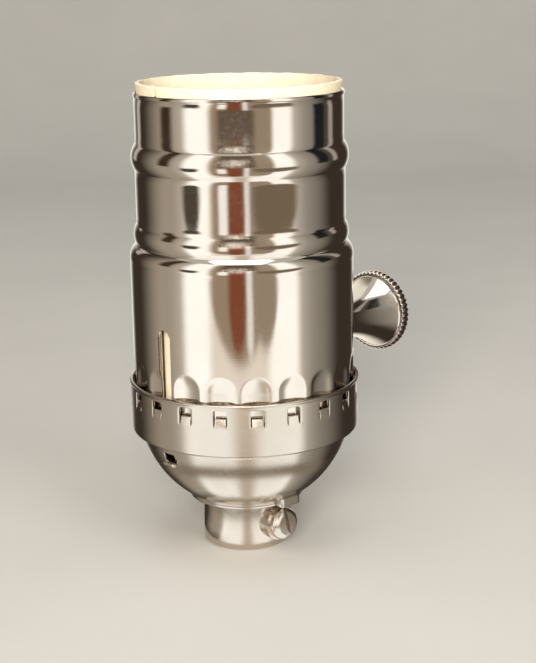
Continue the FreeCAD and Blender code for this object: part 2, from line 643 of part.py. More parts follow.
def switch_base():
    """Lower porcelain block: flange, switch chamber, bush seat, terminal pockets and screw holes."""
    low, top = FOOT, BLOCK_SPLIT
    body = Part.makeCylinder(BLOCK_R, top - low, V(0, 0, low))
    body = body.fuse(Part.makeCylinder(FLANGE_R, FLANGE_T, V(0, 0, low)))
    chamber = box(-CHAMBER_X, CHAMBER_X, -CHAMBER_Y, CHAMBER_Y, CHAMBER_FLOOR, BLOCK_TOP)
    upright = [e for e in chamber.Edges if abs(e.tangentAt(e.FirstParameter).z) > 0.9]
    body = body.cut(chamber.makeFillet(CHAMBER_EDGE, upright))
    cutters = [tube(JOURNAL_R + FIT, 0, -CHAMBER_X - JOURNAL_L, 0, V(0, 0, KNOB_Z), AXIS_X)]
    cutters.append(slot_up(BUSH_R + SEAT / 2, ROTOR_END, SHELL_R))
    cutters.append(slot_up(BUSH_FLANGE_R + SEAT / 2, ROTOR_END, BUSH_IN + SEAT / 2))
    cutters += terminal_pockets()
    slot = CONTACT_W / 2 + SEAT
    under = CONTACT_FOOT - STRIP_T - SEAT
    cutters.append(box(-slot, slot, -BLOCK_R, -BRIDGE_R, under, CONTACT_FOOT + SEAT))
    for place in tie_places():
        cutters.append(Part.makeCylinder(TIE_R + SEAT, top, place + UP * low))
        cutters.append(Part.makeCylinder(TIE_HEAD_R + SEAT, TIE_HEAD_H + SEAT, place + UP * low))
    return body.cut(cutters).removeSplitter()


def slot_up(radius, x0, x1):
    """Cutter for a round seat on the shaft's axis that is open towards the top of the lower block."""
    seat = Part.makeCylinder(radius, x1 - x0, V(x0, 0, KNOB_Z), AXIS_X)
    return seat.fuse(box(x0, x1, -radius, radius, KNOB_Z, BLOCK_TOP))


def terminal_pockets():
    """Cutters on both sides for the terminal plates, and the threaded holes of their screws."""
    half = TERMINAL_W / 2 + SEAT
    depth = BIND_L - STRIP_T + SEAT
    cutters = []
    for side in (-1, 1):
        near, far = sorted((side * TERMINAL_Y, side * SHELL_R))
        cutters.append(box(-half, half, near, far, TERMINAL_LOW - SEAT, TERMINAL_TOP + POCKET_OVER))
        bottom = V(0, side * (TERMINAL_Y - depth), BIND_Z)
        cutters.append(Part.makeCylinder(BIND_R + FIT, BIND_L, bottom, V(0, side, 0)))
    return cutters


def strap_groove():
    """Cutter for the neutral strap's way up the side of both blocks."""
    half = STRAP_W / 2 + SEAT
    return box(-half, half, TERMINAL_Y, SHELL_R, TERMINAL_LOW, SHELL_TOP)


def contact_base():
    """Upper porcelain block: seat of the screw shell, with slots for the straps."""
    body = Part.makeCylinder(BLOCK_R, BLOCK_TOP - BLOCK_SPLIT, V(0, 0, BLOCK_SPLIT))
    rim = [e for e in body.Edges if e.BoundBox.ZMin > BLOCK_TOP - 1e-6]
    body = body.makeFillet(BLOCK_EDGE, rim)
    half = CONTACT_W / 2 + SEAT
    wide = STRAP_W / 2 + SEAT
    face = contact_face()
    floor = BLOCK_TOP - STRIP_T
    cutters = [
        strap_groove(),
        box(-half, half, face - SEAT, face + STRIP_T + SEAT, KNOB_Z, BODY_TOP),
        box(-half, half, CONTACT_RIVET_Y - BINDING_LAP - SEAT, face + STRIP_T, floor, BODY_TOP),
        box(-wide, wide, RIVET_Y - BINDING_LAP, BLOCK_R, floor, BODY_TOP),
        tube(CONTACT_RIVET_R + FIT, 0, BLOCK_TOP - RIVET_L, BODY_TOP, V(0, CONTACT_RIVET_Y, 0)),
    ]
    for side in (-1, 1):
        cutters.append(tube(RIVET_R + FIT, 0, BLOCK_TOP - RIVET_L, BODY_TOP, V(0, side * RIVET_Y, 0)))
    for place in tie_places():
        cutters.append(tube(TIE_R + FIT, 0, KNOB_Z, TIE_TOP + SEAT, place))
    return body.cut(cutters).removeSplitter()


def tie_screws():
    """Two long screws that hold the porcelain blocks together, heads below."""
    screws = []
    for place in tie_places():
        seat = place + UP * (FOOT + TIE_HEAD_H + SEAT / 2)
        screw = headed_pin(TIE_R, TIE_TOP - seat.z, TIE_HEAD_R, TIE_HEAD_H, seat, -UP)
        head = seat - UP * TIE_HEAD_H
        screws.append(slotted(screw, head, -UP, AXIS_X, SCREW_SLOT_W, SCREW_SLOT_D, TIE_HEAD_R * 3))
    return Part.makeCompound(screws)


# ================================================================ terminals and contacts
def line_terminal():
    """Line side: plate under the binding screw, leg through the wall and fixed contact."""
    outer = TERMINAL_Y + STRIP_T
    face = contact_face()
    half = CONTACT_W / 2
    body = box(-TERMINAL_W / 2, TERMINAL_W / 2, -outer, -TERMINAL_Y, TERMINAL_LOW, CONTACT_FOOT)
    body = body.fuse(box(-half, half, -outer, -face, CONTACT_FOOT - STRIP_T, CONTACT_FOOT))
    body = body.fuse(box(-half, half, -face - STRIP_T, -face, CONTACT_FOOT - STRIP_T, CONTACT_HEAD))
    return body.cut(binding_hole(-1)).removeSplitter()


def neutral_terminal():
    """Neutral side: plate under the binding screw and strap up to the screw shell's floor."""
    outer = TERMINAL_Y + STRIP_T
    half = STRAP_W / 2
    body = box(-TERMINAL_W / 2, TERMINAL_W / 2, TERMINAL_Y, outer, TERMINAL_LOW, TERMINAL_TOP)
    body = body.fuse(box(-half, half, TERMINAL_Y, outer, TERMINAL_LOW, BLOCK_TOP))
    lap = RIVET_Y - BINDING_LAP + SEAT
    body = body.fuse(box(-half, half, lap, outer, BLOCK_TOP - STRIP_T, BLOCK_TOP))
    body = body.cut(tube(RIVET_R + FIT, 0, BLOCK_SPLIT, BODY_TOP, V(0, RIVET_Y, 0)))
    return body.cut(binding_hole(1)).removeSplitter()


def load_strap():
    """Load side: fixed contact in the chamber and strap up to the centre contact."""
    half = CONTACT_W / 2
    face = contact_face()
    body = box(-half, half, face, face + STRIP_T, CONTACT_FOOT, BLOCK_TOP)
    lap = CONTACT_RIVET_Y - BINDING_LAP
    body = body.fuse(box(-half, half, lap, face + STRIP_T, BLOCK_TOP - STRIP_T, BLOCK_TOP))
    hole = tube(CONTACT_RIVET_R + FIT, 0, BLOCK_SPLIT, BODY_TOP, V(0, CONTACT_RIVET_Y, 0))
    return body.cut(hole).removeSplitter()


def binding_hole(side):
    """Hole of a binding screw in its terminal plate."""
    start = V(0, side * (TERMINAL_Y - BIND_L), BIND_Z)
    return Part.makeCylinder(BIND_R + FIT, 2 * BIND_L, start, V(0, side, 0))


def binding_screw(side):
    """Binding screw of one terminal, slotted across."""
    out = V(0, side, 0)
    seat = V(0, side * (TERMINAL_Y + STRIP_T), BIND_Z)
    screw = headed_pin(BIND_R, BIND_L, BIND_HEAD_R, BIND_HEAD_H, seat, out, BIND_DOME)
    head = seat + out * BIND_HEAD_H
    return slotted(screw, head, out, AXIS_X, SCREW_SLOT_W, SCREW_SLOT_D, BIND_HEAD_R * 3)


# ================================================================ lamp side
def thread_low():
    """Height at which the rolled thread starts."""
    return SCREW_MOUTH - SCREW_MOUTH_L - THREAD_TURNS * THREAD_PITCH


def thread_steps(low):
    """Path steps of the rolled wave from a low point up: half a root, then crests and roots in turn."""
    root = THREAD_ROOT_R + SCREW_WALL
    crest = root - THREAD_DEPTH
    middle = (root + crest) / 2.0
    quarter = THREAD_PITCH / 4.0
    sagitta = (root - crest) / 2.0
    curve = (quarter ** 2 + sagitta ** 2) / (2.0 * sagitta)
    centre = (root - curve, low)
    reach = math.degrees(math.asin(quarter / curve))
    steps = [(arc_mid(centre, curve, 0, reach), (middle, low + quarter))]
    z = low + quarter
    for k in range(2 * THREAD_TURNS - 1):
        tip = crest if k % 2 == 0 else root
        steps.append(((tip, z + quarter), (middle, z + 2 * quarter)))
        z += 2 * quarter
    centre = (root - curve, z + quarter)
    steps.append((arc_mid(centre, curve, -reach, 0), (root, z + quarter)))
    return steps


def screw_shell():
    """Screw shell of thin brass: floor, rolled thread and plain mouth."""
    wall_r = THREAD_ROOT_R + SCREW_WALL
    edge = (wall_r - SCREW_FLOOR_EDGE, BLOCK_TOP + SCREW_FLOOR_EDGE)
    steps = [(wall_r - SCREW_FLOOR_LEDGE, BLOCK_TOP), (wall_r - SCREW_FLOOR_EDGE, BLOCK_TOP)]
    steps.append((arc_mid(edge, SCREW_FLOOR_EDGE, -90, 0), (wall_r, BLOCK_TOP + SCREW_FLOOR_EDGE)))
    steps.append((wall_r, thread_low()))
    steps += thread_steps(thread_low())
    steps.append((wall_r, SCREW_MOUTH))
    body = spun_sheet(path(*steps), SCREW_WALL)
    holes = [tube(RIVET_R + FIT, 0, BLOCK_SPLIT, BODY_TOP, V(0, s * RIVET_Y, 0)) for s in (-1, 1)]
    return body.cut(holes)


def shell_rivets():
    """Two rivets that hold the screw shell on the porcelain."""
    seat = BLOCK_TOP + SCREW_WALL
    pins = []
    for side in (-1, 1):
        at = V(0, side * RIVET_Y, seat)
        pins.append(headed_pin(RIVET_R, RIVET_L, RIVET_HEAD_R, RIVET_HEAD_H, at, UP))
    return Part.makeCompound(pins)


def centre_contact():
    """Springy tongue: foot under its rivet, rise to the lamp's centre and a turned-down tip."""
    low = BLOCK_TOP
    crown = low + TONGUE_RISE
    bend = V(0, CONTACT_RIVET_Y - TONGUE_BEND, low)
    near = V(0, TONGUE_CROWN, crown - TONGUE_CROWN_H)
    far = V(0, -TONGUE_CROWN, crown - TONGUE_CROWN_H)
    tip = V(0, -TONGUE_TIP, crown - TONGUE_CROWN_H - TONGUE_TIP_DROP)
    edges = [
        Part.makeLine(V(0, CONTACT_RIVET_Y + TONGUE_FOOT, low), bend),
        Part.makeLine(bend, near),
        Part.Arc(near, V(0, 0, crown), far).toShape(),
        Part.makeLine(far, tip),
    ]
    strip = Part.Wire(edges).makeOffset2D(TONGUE_T, 2, True, True, False)
    body = strip.extrude(V(TONGUE_W, 0, 0)).translated(V(-TONGUE_W / 2, 0, 0))
    body = body.translated(UP * (low - body.BoundBox.ZMin))
    return body.cut(tube(CONTACT_RIVET_R + FIT, 0, BLOCK_SPLIT, BODY_TOP, V(0, CONTACT_RIVET_Y, 0)))


def contact_rivet():
    """Rivet through the centre contact, the load strap and the porcelain."""
    at = V(0, CONTACT_RIVET_Y, BLOCK_TOP + TONGUE_T)
    return headed_pin(CONTACT_RIVET_R, RIVET_L, CONTACT_HEAD_R, RIVET_HEAD_H, at, UP)


# ================================================================ output
def lower_base():
    """Lower porcelain block with the groove of the neutral strap."""
    return switch_base().cut(strap_groove()).removeSplitter()


PARTS = {
    "outer_shell": outer_shell,
    "shell_liner": shell_liner,
    "cap": cap,
    "cap_liner": cap_liner,
    "neck_bushing": neck_bushing,
    "set_screw": set_screw,
    "knob": knob,
    "switch_shaft": switch_shaft,
    "switch_rotor": switch_rotor,
    "rotor_bridge": rotor_bridge,
    "rotor_collar": rotor_collar,
    "shaft_bush": shaft_bush,
    "detent_spring": detent_spring,
    "switch_base": lower_base,
    "contact_base": contact_base,
    "tie_screws": tie_screws,
    "line_terminal": line_terminal,
    "neutral_terminal": neutral_terminal,
    "load_strap": load_strap,
    "line_screw": lambda: binding_screw(-1),
    "neutral_screw": lambda: binding_screw(1),
    "screw_shell": screw_shell,
    "shell_rivets": shell_rivets,
    "centre_contact": centre_contact,
    "contact_rivet": contact_rivet,
}

os.makedirs("parts", exist_ok=True)
for node, make in PARTS.items():
    shape = make()
    shape.exportStep("parts/" + node + ".step")
    print(node, len(shape.Solids), shape.isValid(), round(shape.Volume, 2))
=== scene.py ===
"""Lamp holder with a turn-knob switch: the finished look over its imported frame.

Sizes are millimetres in the classes below and metres in every mesh.  The lamp axis is Z, the knob's shaft
points along +X, and the neck's mouth stands on the floor at the origin.
"""
import logging
import math
from dataclasses import dataclass, field
from enum import Enum
from typing import Protocol

import bmesh
import bpy
import numpy as np
from mathutils import Matrix, Vector


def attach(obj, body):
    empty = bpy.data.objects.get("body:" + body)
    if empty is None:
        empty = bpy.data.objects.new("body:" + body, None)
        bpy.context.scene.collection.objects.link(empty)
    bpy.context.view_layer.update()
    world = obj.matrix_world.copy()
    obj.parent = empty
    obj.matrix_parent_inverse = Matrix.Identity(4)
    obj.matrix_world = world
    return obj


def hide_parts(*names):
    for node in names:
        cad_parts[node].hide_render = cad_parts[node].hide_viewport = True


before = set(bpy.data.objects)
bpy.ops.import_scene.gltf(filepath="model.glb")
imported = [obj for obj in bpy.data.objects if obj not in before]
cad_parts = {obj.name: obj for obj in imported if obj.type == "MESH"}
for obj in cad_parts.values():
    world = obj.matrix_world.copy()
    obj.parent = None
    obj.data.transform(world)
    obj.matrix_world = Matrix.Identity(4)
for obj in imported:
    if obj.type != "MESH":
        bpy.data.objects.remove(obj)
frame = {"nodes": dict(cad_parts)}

MM = 0.001
TURN = 2.0 * math.pi
HAIR = 1e-7        # radians, between the two columns of a slot's middle
TINY = 1e-6        # millimetres, as good as nothing
NEAR = 1e-4        # millimetres or degrees, near enough to be the same row or column
SHARP = 50.0       # degrees, from which an edge is rounded
FLOOR_GAP = 0.3    # millimetres, from the floor up to the screen's tray
MIDDLE = {"From_Min": 0.3, "From_Max": 0.7}    # the range in which nearly all of a noise lies
log = logging.getLogger("lamp_holder")
Colour = tuple[float, float, float, float]
Triple = tuple[float, float, float]
Point = tuple[float, float]
Leg = tuple[Point, int] | tuple[Point, Point, int]
Numbers = float | np.ndarray


class Body(Enum):
    """Bodies of the frame that a piece can ride on."""

    HOLDER = "holder"
    KNOB = "knob_group"
    SET_SCREW = "set_screw"
    SHELL = "shell"


class Marks(Enum):
    """Direction of the fine lines that the working of a metal leaves, as stretch along X, Y and Z."""

    RINGS_ABOUT_Z = (0.04, 0.04, 1.0)
    RINGS_ABOUT_X = (1.0, 0.04, 0.04)
    ROLLED = (0.05, 1.0, 1.0)
    NONE = (1.0, 1.0, 1.0)


EVEN = Marks.NONE.value


# ---------------------------------------------------------------- materials
def linear(code: str) -> Colour:
    """Turns a written colour into the linear values that shaders use.

    Args:
        code: a # and six hex digits in sRGB.

    Returns:
        Red, green, blue and alpha, linear.
    """
    parts = [int(code[k:k + 2], 16) / 255.0 for k in (1, 3, 5)]
    red, green, blue = (c / 12.92 if c <= 0.04045 else ((c + 0.055) / 1.055) ** 2.4 for c in parts)
    return (red, green, blue, 1.0)


def grains(stretch: Triple, size_mm: float) -> Triple:
    """Scale that gives one unit of a pattern a real size: the stretch along X, Y and Z over that size."""
    x, y, z = (s / size_mm / MM for s in stretch)
    return (x, y, z)


class Graph:
    """Node tree of a material or of the world, with one short call that adds a node."""

    def __init__(self, owner: bpy.types.Material | bpy.types.World) -> None:
        """Takes the owner's tree and empties it.

        Args:
            owner: the material or the world.
        """
        owner.use_nodes = True
        self.tree = owner.node_tree
        self.tree.nodes.clear()

    def add(self, kind: str, **settings: object) -> bpy.types.Node:
        """Adds a node with its settings and links.

        Args:
            kind: the node's type without the ShaderNode prefix.
            **settings: sockets by name with _ for a space, or by place as _0, and properties by name.  A
                socket takes a value, an output, or a node, which gives its first output.

        Returns:
            The new node.
        """
        node = self.tree.nodes.new("ShaderNode" + kind)
        for key, value in settings.items():
            source = value.outputs[0] if isinstance(value, bpy.types.Node) else value
            place = key.lstrip("_")
            socket = node.inputs[int(place)] if place.isdigit() else node.inputs.get(key.replace("_", " "))
            if socket is None:
                setattr(node, key, value)
            elif isinstance(source, bpy.types.NodeSocket):
                self.tree.links.new(source, socket)
            else:
                socket.default_value = source
        return node


class Finish(Protocol):
    """Anything that can fill the tree of one material."""

    name: str

    def build(self, g: Graph) -> bpy.types.Node:
        """Adds the finish's nodes and gives its shader."""


@dataclass(frozen=True)
class Metal:
    """Plated or bare metal with the lines of its working, handling haze and a faint unevenness of colour.

    Attributes:
        name: the real material.
        colour: reflected colour where it is clean.
        haze: reflected colour where it has been handled.
        gloss: roughness where it is clean.
        dulled: roughness where it has been handled.
        marks: direction of the working lines.
        mark_mm: spacing of the lines.
        mark_depth: depth of the lines.
        wave_depth: height of the slow waves that thin sheet has.
        wave_mm: width of those waves.
        cloud_mm: width of a handled patch.
        speck_mm: width of the specks that break up the gloss.
    """

    name: str
    colour: str
    haze: str
    gloss: float
    dulled: float
    marks: Marks
    mark_mm: float
    mark_depth: float
    wave_depth: float = 0.0
    wave_mm: float = 5.0
    cloud_mm: float = 7.0
    speck_mm: float = 0.5

    def build(self, g: Graph) -> bpy.types.Node:
        """Adds the metal: lines in the bump, clouds in roughness and colour, so reflections stay broken.

        Args:
            g: the tree to fill.

        Returns:
            The shader.
        """
        where = g.add("TexCoord").outputs["Object"]
        lines, clouds, specks = (
            g.add("TexNoise", Vector=g.add("Mapping", Vector=where, Scale=grains(stretch, size)), Scale=1.0,
                  Detail=detail)
            for stretch, size, detail in ((self.marks.value, self.mark_mm, 4.0), (EVEN, self.cloud_mm, 4.0),
                                          (EVEN, self.speck_mm, 2.0)))
        normal = g.add("Bump", Height=lines, Strength=1.0, Distance=self.mark_depth * MM)
        if self.wave_depth > 0.0:
            sheet = g.add("Mapping", Vector=where, Scale=grains(EVEN, self.wave_mm))
            waves = g.add("TexNoise", Vector=sheet, Scale=1.0, Detail=1.0)
            normal = g.add("Bump", Height=waves, Strength=1.0, Distance=self.wave_depth * MM, Normal=normal)
        fine = g.add("MapRange", Value=specks, **MIDDLE, To_Min=-0.02, To_Max=0.03)
        slow = g.add("MapRange", Value=clouds, **MIDDLE, To_Min=self.gloss, To_Max=self.dulled)
        rough = g.add("Math", operation="ADD", use_clamp=True, _0=fine, _1=slow)
        tint = g.add("Mix", data_type="RGBA", _0=clouds, _6=linear(self.colour), _7=linear(self.haze))
        return g.add("BsdfPrincipled", Base_Color=tint.outputs[2], Metallic=1.0, Roughness=rough,
                     Normal=normal)


@dataclass(frozen=True)
class Fibre:
    """Pressed paper fibre: matt, flecked, with short fibres lying in the sheet.

    Attributes:
        name: the real material.
        colour: colour of the sheet.
        fleck: colour of the fibres that stand out.
        roughness: how matt it is.
        lie: stretch of the fibres, which run round the tube.
        hair_mm: width of a fibre.
        hair_depth: relief of the fibres.
        cloud_mm: width of a cloud in the pressed pulp.
        cloud_depth: relief of the clouds.
    """

    name: str
    colour: str
    fleck: str
    roughness: float = 0.85
    lie: Triple = (0.35, 0.35, 1.0)
    hair_mm: float = 0.16
    hair_depth: float = 0.03
    cloud_mm: float = 2.4
    cloud_depth: float = 0.04

    def build(self, g: Graph) -> bpy.types.Node:
        """Adds the fibre: stretched noise for lying fibres, a coarser one for the tone of pressed paper.

        Args:
            g: the tree to fill.

        Returns:
            The shader.
        """
        where = g.add("TexCoord").outputs["Object"]
        hairs, cloud = (
            g.add("TexNoise", Vector=g.add("Mapping", Vector=where, Scale=grains(stretch, size)), Scale=1.0,
                  Detail=detail)
            for stretch, size, detail in ((self.lie, self.hair_mm, 5.0), (EVEN, self.cloud_mm, 3.0)))
        stand = g.add("MapRange", Value=hairs, **MIDDLE, To_Min=0.0, To_Max=1.0)
        pulp = g.add("MapRange", Value=cloud, **MIDDLE, To_Min=0.35, To_Max=1.0)
        mix = g.add("Math", operation="MULTIPLY", use_clamp=True, _0=stand, _1=pulp)
        tint = g.add("Mix", data_type="RGBA", _0=mix, _6=linear(self.colour), _7=linear(self.fleck))
        under = g.add("Bump", Height=cloud, Strength=1.0, Distance=self.cloud_depth * MM)
        normal = g.add("Bump", Height=hairs, Strength=1.0, Distance=self.hair_depth * MM, Normal=under)
        return g.add("BsdfPrincipled", Base_Color=tint.outputs[2], Roughness=self.roughness, Normal=normal)


@dataclass(frozen=True)
class Porcelain:
    """Glazed white porcelain with a faint orange-peel skin and fine dark specks under the glaze.

    Attributes:
        name: the real material.
        colour: colour of the glaze.
        speck: colour of the specks.
        speck_mm: width of a speck.
        peel_mm: width of a dimple in the glaze.
        peel_depth: depth of a dimple.
        patch_mm: width of a duller patch.
    """

    name: str
    colour: str
    speck: str
    speck_mm: float = 0.35
    peel_mm: float = 0.9
    peel_depth: float = 0.02
    patch_mm: float = 3.0

    def build(self, g: Graph) -> bpy.types.Node:
        """Adds the porcelain: a smooth coat over a slightly duller body gives the wet shine of a glaze.

        Args:
            g: the tree to fill.

        Returns:
            The shader.
        """
        where = g.add("TexCoord").outputs["Object"]
        spots, peel, patches = (
            g.add("TexNoise", Vector=g.add("Mapping", Vector=where, Scale=grains(EVEN, size)), Scale=1.0,
                  Detail=detail)
            for size, detail in ((self.speck_mm, 1.0), (self.peel_mm, 2.0), (self.patch_mm, 2.0)))
        dark = g.add("MapRange", Value=spots, From_Min=0.72, From_Max=0.78, To_Min=0.0, To_Max=1.0)
        tint = g.add("Mix", data_type="RGBA", _0=dark, _6=linear(self.colour), _7=linear(self.speck))
        normal = g.add("Bump", Height=peel, Strength=1.0, Distance=self.peel_depth * MM)
        rough = g.add("MapRange", Value=patches, **MIDDLE, To_Min=0.2, To_Max=0.34)
        return g.add("BsdfPrincipled", Base_Color=tint.outputs[2], Roughness=rough, Normal=normal,
                     Coat_Weight=0.6, Coat_Roughness=0.06)


@dataclass(frozen=True)
class Plain:
    """Even matt paint with a soft mottling, for the floor.

    Attributes:
        name: the real material.
        colour: its colour.
        mottle: the colour it wanders to.
        roughness: how matt it is.
        grain_mm: size of the mottling.
        relief: height of its skin.
        sheen: strength of its soft shine.
    """

    name: str
    colour: str
    mottle: str
    roughness: float
    grain_mm: float
    relief: float
    sheen: float

    def build(self, g: Graph) -> bpy.types.Node:
        """Adds the paint: one noise moves the colour a little and lifts the skin.

        Args:
            g: the tree to fill.

        Returns:
            The shader.
        """
        room = g.add("Mapping", Vector=g.add("TexCoord").outputs["Object"], Scale=grains(EVEN, self.grain_mm))
        cloud = g.add("TexNoise", Vector=room, Scale=1.0, Detail=4.0)
        share = g.add("MapRange", Value=cloud, **MIDDLE, To_Min=0.0, To_Max=1.0)
        tint = g.add("Mix", data_type="RGBA", _0=share, _6=linear(self.colour), _7=linear(self.mottle))
        normal = g.add("Bump", Height=cloud, Strength=1.0, Distance=self.relief * MM)
        return g.add("BsdfPrincipled", Base_Color=tint.outputs[2], Roughness=self.roughness, Normal=normal,
                     Specular_IOR_Level=self.sheen)


@dataclass(frozen=True)
class Glow:
    """Glowing surface of the screen of painted reflections, as bright as its mesh says.

    Attributes:
        name: the material's name.
        layer: the mesh's colour attribute that holds the brightness.
    """

    name: str
    layer: str

    def build(self, g: Graph) -> bpy.types.Node:
        """Adds the light that the attribute gives."""
        return g.add("Emission", Color=g.add("Attribute", attribute_name=self.layer).outputs["Color"])


RINGS_Z, RINGS_X, ROLLED = Marks.RINGS_ABOUT_Z, Marks.RINGS_ABOUT_X, Marks.ROLLED
# Nickel plate is a warm grey.  A buffing mop and a lathe leave lines a few hundredths of a millimetre apart,
# too fine to show, so they are drawn 0.12 to 0.4 mm apart and a micron or so deep: the eye sees clear
# reflections with slightly broken edges.  Drawn sheet adds slow waves up to a hundredth of a millimetre high.
POLISHED = Metal("polished_nickel", "#d9d2c8", "#cfc6b9", 0.055, 0.10, RINGS_Z, 0.25, 0.0012, 0.012)
KNOB_NICKEL = Metal("polished_nickel_knob", "#dad3c9", "#cec4b6", 0.07, 0.13, RINGS_X, 0.2, 0.0012)
SATIN = Metal("satin_nickel", "#cfc8bd", "#bfb6a8", 0.15, 0.23, RINGS_Z, 0.14, 0.0014, 0.006)
TURNED = Metal("turned_nickel", "#d2cabf", "#c2b8a9", 0.14, 0.22, RINGS_Z, 0.12, 0.0014)
SCREW_NICKEL = Metal("screw_nickel", "#d2cabf", "#bdb2a2", 0.12, 0.22, Marks.NONE, 0.4, 0.003)
# Bare bar and strip: deeper lines along the rolling or drawing dull the shine and pull it out lengthways.
STEEL = Metal("drawn_steel", "#a9a8a6", "#8f8c88", 0.22, 0.36, RINGS_X, 0.12, 0.004)
BRASS = Metal("rolled_brass", "#c8a04f", "#a9803a", 0.20, 0.36, ROLLED, 0.15, 0.004)
BRASS_SPUN = Metal("spun_brass", "#cda758", "#b18a45", 0.14, 0.26, RINGS_Z, 0.2, 0.003, 0.01)
BRONZE = Metal("spring_bronze", "#b07f4b", "#8c6238", 0.22, 0.36, ROLLED, 0.12, 0.003)
# Vulcanised paper: its fibres are about 0.03 mm thick, too fine to show, and are drawn 0.16 mm thick, so that
# the sheet looks dry and faintly streaked.
CREAM_FIBRE = Fibre("cream_fibre", "#f6ecd4", "#e6d3ac")
DARK_FIBRE = Fibre("dark_fibre", "#54402c", "#7a6145")
RED_FIBRE = Fibre("red_fibre", "#6e2a20", "#8b4234", 0.6)
# Dipped and fired: white with a wet, softly dimpled shine.
GLAZE = Porcelain("glazed_porcelain", "#ece8df", "#8a7d6c")
FLOOR = Plain("pale_floor", "#cfccc6", "#cbc8c2", 0.8, 40.0, 0.02, 0.0)
# The screen glows with painted reflections for the polished metal: bright, dark and tinted streaks.
PAINTED_REFLECTIONS = Glow("painted_reflection_screen", "shade")


class Palette:
    """Makes each material once."""

    def __init__(self) -> None:
        """Starts with no materials."""
        self.made: dict[str, bpy.types.Material] = {}

    def get(self, finish: Finish) -> bpy.types.Material:
        """The material of a finish, made at its first use.

        Args:
            finish: the finish.

        Returns:
            Its material.
        """
        if finish.name not in self.made:
            material = bpy.data.materials.new(finish.name)
            g = Graph(material)
            g.add("OutputMaterial", Surface=finish.build(g))
            self.made[finish.name] = material
        return self.made[finish.name]


# ---------------------------------------------------------------- meshes
def arc(start: Point, middle: Point, end: Point, count: int) -> np.ndarray:
    """Points along the circle through three points.

    Args:
        start: first point.
        middle: a point on the arc.
        end: last point.
        count: number of steps.

    Returns:
        count + 1 points.
    """
    (ax, ay), (bx, by), (cx, cy) = start, middle, end
    d = 2.0 * (ax * (by - cy) + bx * (cy - ay) + cx * (ay - by))
    a2, b2, c2 = ax * ax + ay * ay, bx * bx + by * by, cx * cx + cy * cy
    ux = (a2 * (by - cy) + b2 * (cy - ay) + c2 * (ay - by)) / d
    uy = (a2 * (cx - bx) + b2 * (ax - cx) + c2 * (bx - ax)) / d
    t0, t1, t2 = (math.atan2(y - uy, x - ux) for x, y in (start, middle, end))
    sweep = (t2 - t0) % TURN
    if (t1 - t0) % TURN > sweep:
        sweep -= TURN
    t = t0 + sweep * np.linspace(0.0, 1.0, count + 1)
    radius = math.hypot(ax - ux, ay - uy)
    return np.stack([ux + radius * np.cos(t), uy + radius * np.sin(t)], axis=1)


def path(start: Point, *legs: Leg) -> np.ndarray:
    """Line through a start and legs: (end, steps) runs straight, and (middle, end, steps) along an arc.

    Args:
        start: first point.
        *legs: where to go next, each from where the last one ended.

    Returns:
        All points, in order.
    """
    runs, here = [np.array([start])], start
    for *middle, end, steps in legs:
        run = arc(here, middle[0], end, steps) if middle else np.linspace(here, end, steps + 1)
        runs.append(run[1:])
        here = end
    return np.vstack(runs)


def quads(rows: int, columns: int, wrap: bool = False) -> np.ndarray:
    """Faces of a grid of vertices stored row by row.

    Args:
        rows: rows of vertices.
        columns: vertices in a row.
        wrap: whether the last column joins the first.

    Returns:
        Four vertex numbers for each face, shaped (rows - 1, spans, 4).
    """
    i, j = np.meshgrid(np.arange(rows - 1), np.arange(columns if wrap else columns - 1), indexing="ij")
    here, beside = i * columns + j, i * columns + (j + 1) % columns
    return np.stack([here, beside, beside + columns, here + columns], axis=-1)


def about_z(radius: Numbers, angle: Numbers, height: Numbers) -> np.ndarray:
    """Points from radius, angle and height about the lamp axis."""
    radius, angle, height = np.broadcast_arrays(radius, angle, height)
    return np.stack([radius * np.cos(angle), radius * np.sin(angle), height], axis=-1)


def axes(degrees: float) -> tuple[np.ndarray, np.ndarray, np.ndarray]:
    """Unit vectors out from the lamp axis in a direction, sideways from that, and up."""
    c, s = math.cos(math.radians(degrees)), math.sin(math.radians(degrees))
    return np.array([c, s, 0.0]), np.array([-s, c, 0.0]), np.array([0.0, 0.0, 1.0])


def mesh_piece(name: str, points: np.ndarray, *faces: np.ndarray) -> bpy.types.Object:
    """Puts arrays of points and faces into a smooth-shaded object, where points all but the same become one.

    Args:
        name: the piece's name.
        points: points in millimetres, any shape that ends in 3.
        *faces: arrays of vertex numbers, each shaped (..., corners).

    Returns:
        The linked object.
    """
    mesh = bpy.data.meshes.new(name)
    rings = [f for group in faces for f in group.reshape(-1, group.shape[-1]).tolist()]
    mesh.from_pydata((points.reshape(-1, 3) * MM).tolist(), [], rings)
    work = bmesh.new()
    work.from_mesh(mesh)
    bmesh.ops.remove_doubles(work, verts=work.verts, dist=NEAR * MM)
    bmesh.ops.dissolve_degenerate(work, edges=work.edges, dist=NEAR * MM)
    loose = [v for v in work.verts if not v.link_faces]
    bmesh.ops.delete(work, geom=loose, context="VERTS")
    for face in work.faces:
        face.smooth = True
    work.to_mesh(mesh)
    work.free()
    thing = bpy.data.objects.new(name, mesh)
    bpy.context.scene.collection.objects.link(thing)
    return thing


def thicken(thing: bpy.types.Object, wall: float) -> None:
    """Gives a sheet its wall, inwards from the faces as made.

    Args:
        thing: the sheet.
        wall: its thickness, in millimetres.
    """
    solid = thing.modifiers.new("wall", "SOLIDIFY")
    solid.thickness = wall * MM
    solid.offset = -1.0
    solid.use_even_offset = True


def soften(thing: bpy.types.Object, width: float) -> None:
    """Rounds the sharp edges of a piece by a small bevel and keeps the flats flat.

    Args:
        thing: the piece.
        width: width of the bevel, in millimetres.
    """
    bevel = thing.modifiers.new("soft edges", "BEVEL")
    bevel.width = width * MM
    bevel.segments = 2
    bevel.limit_method = "ANGLE"
    bevel.angle_limit = math.radians(SHARP)
    bevel.harden_normals = False


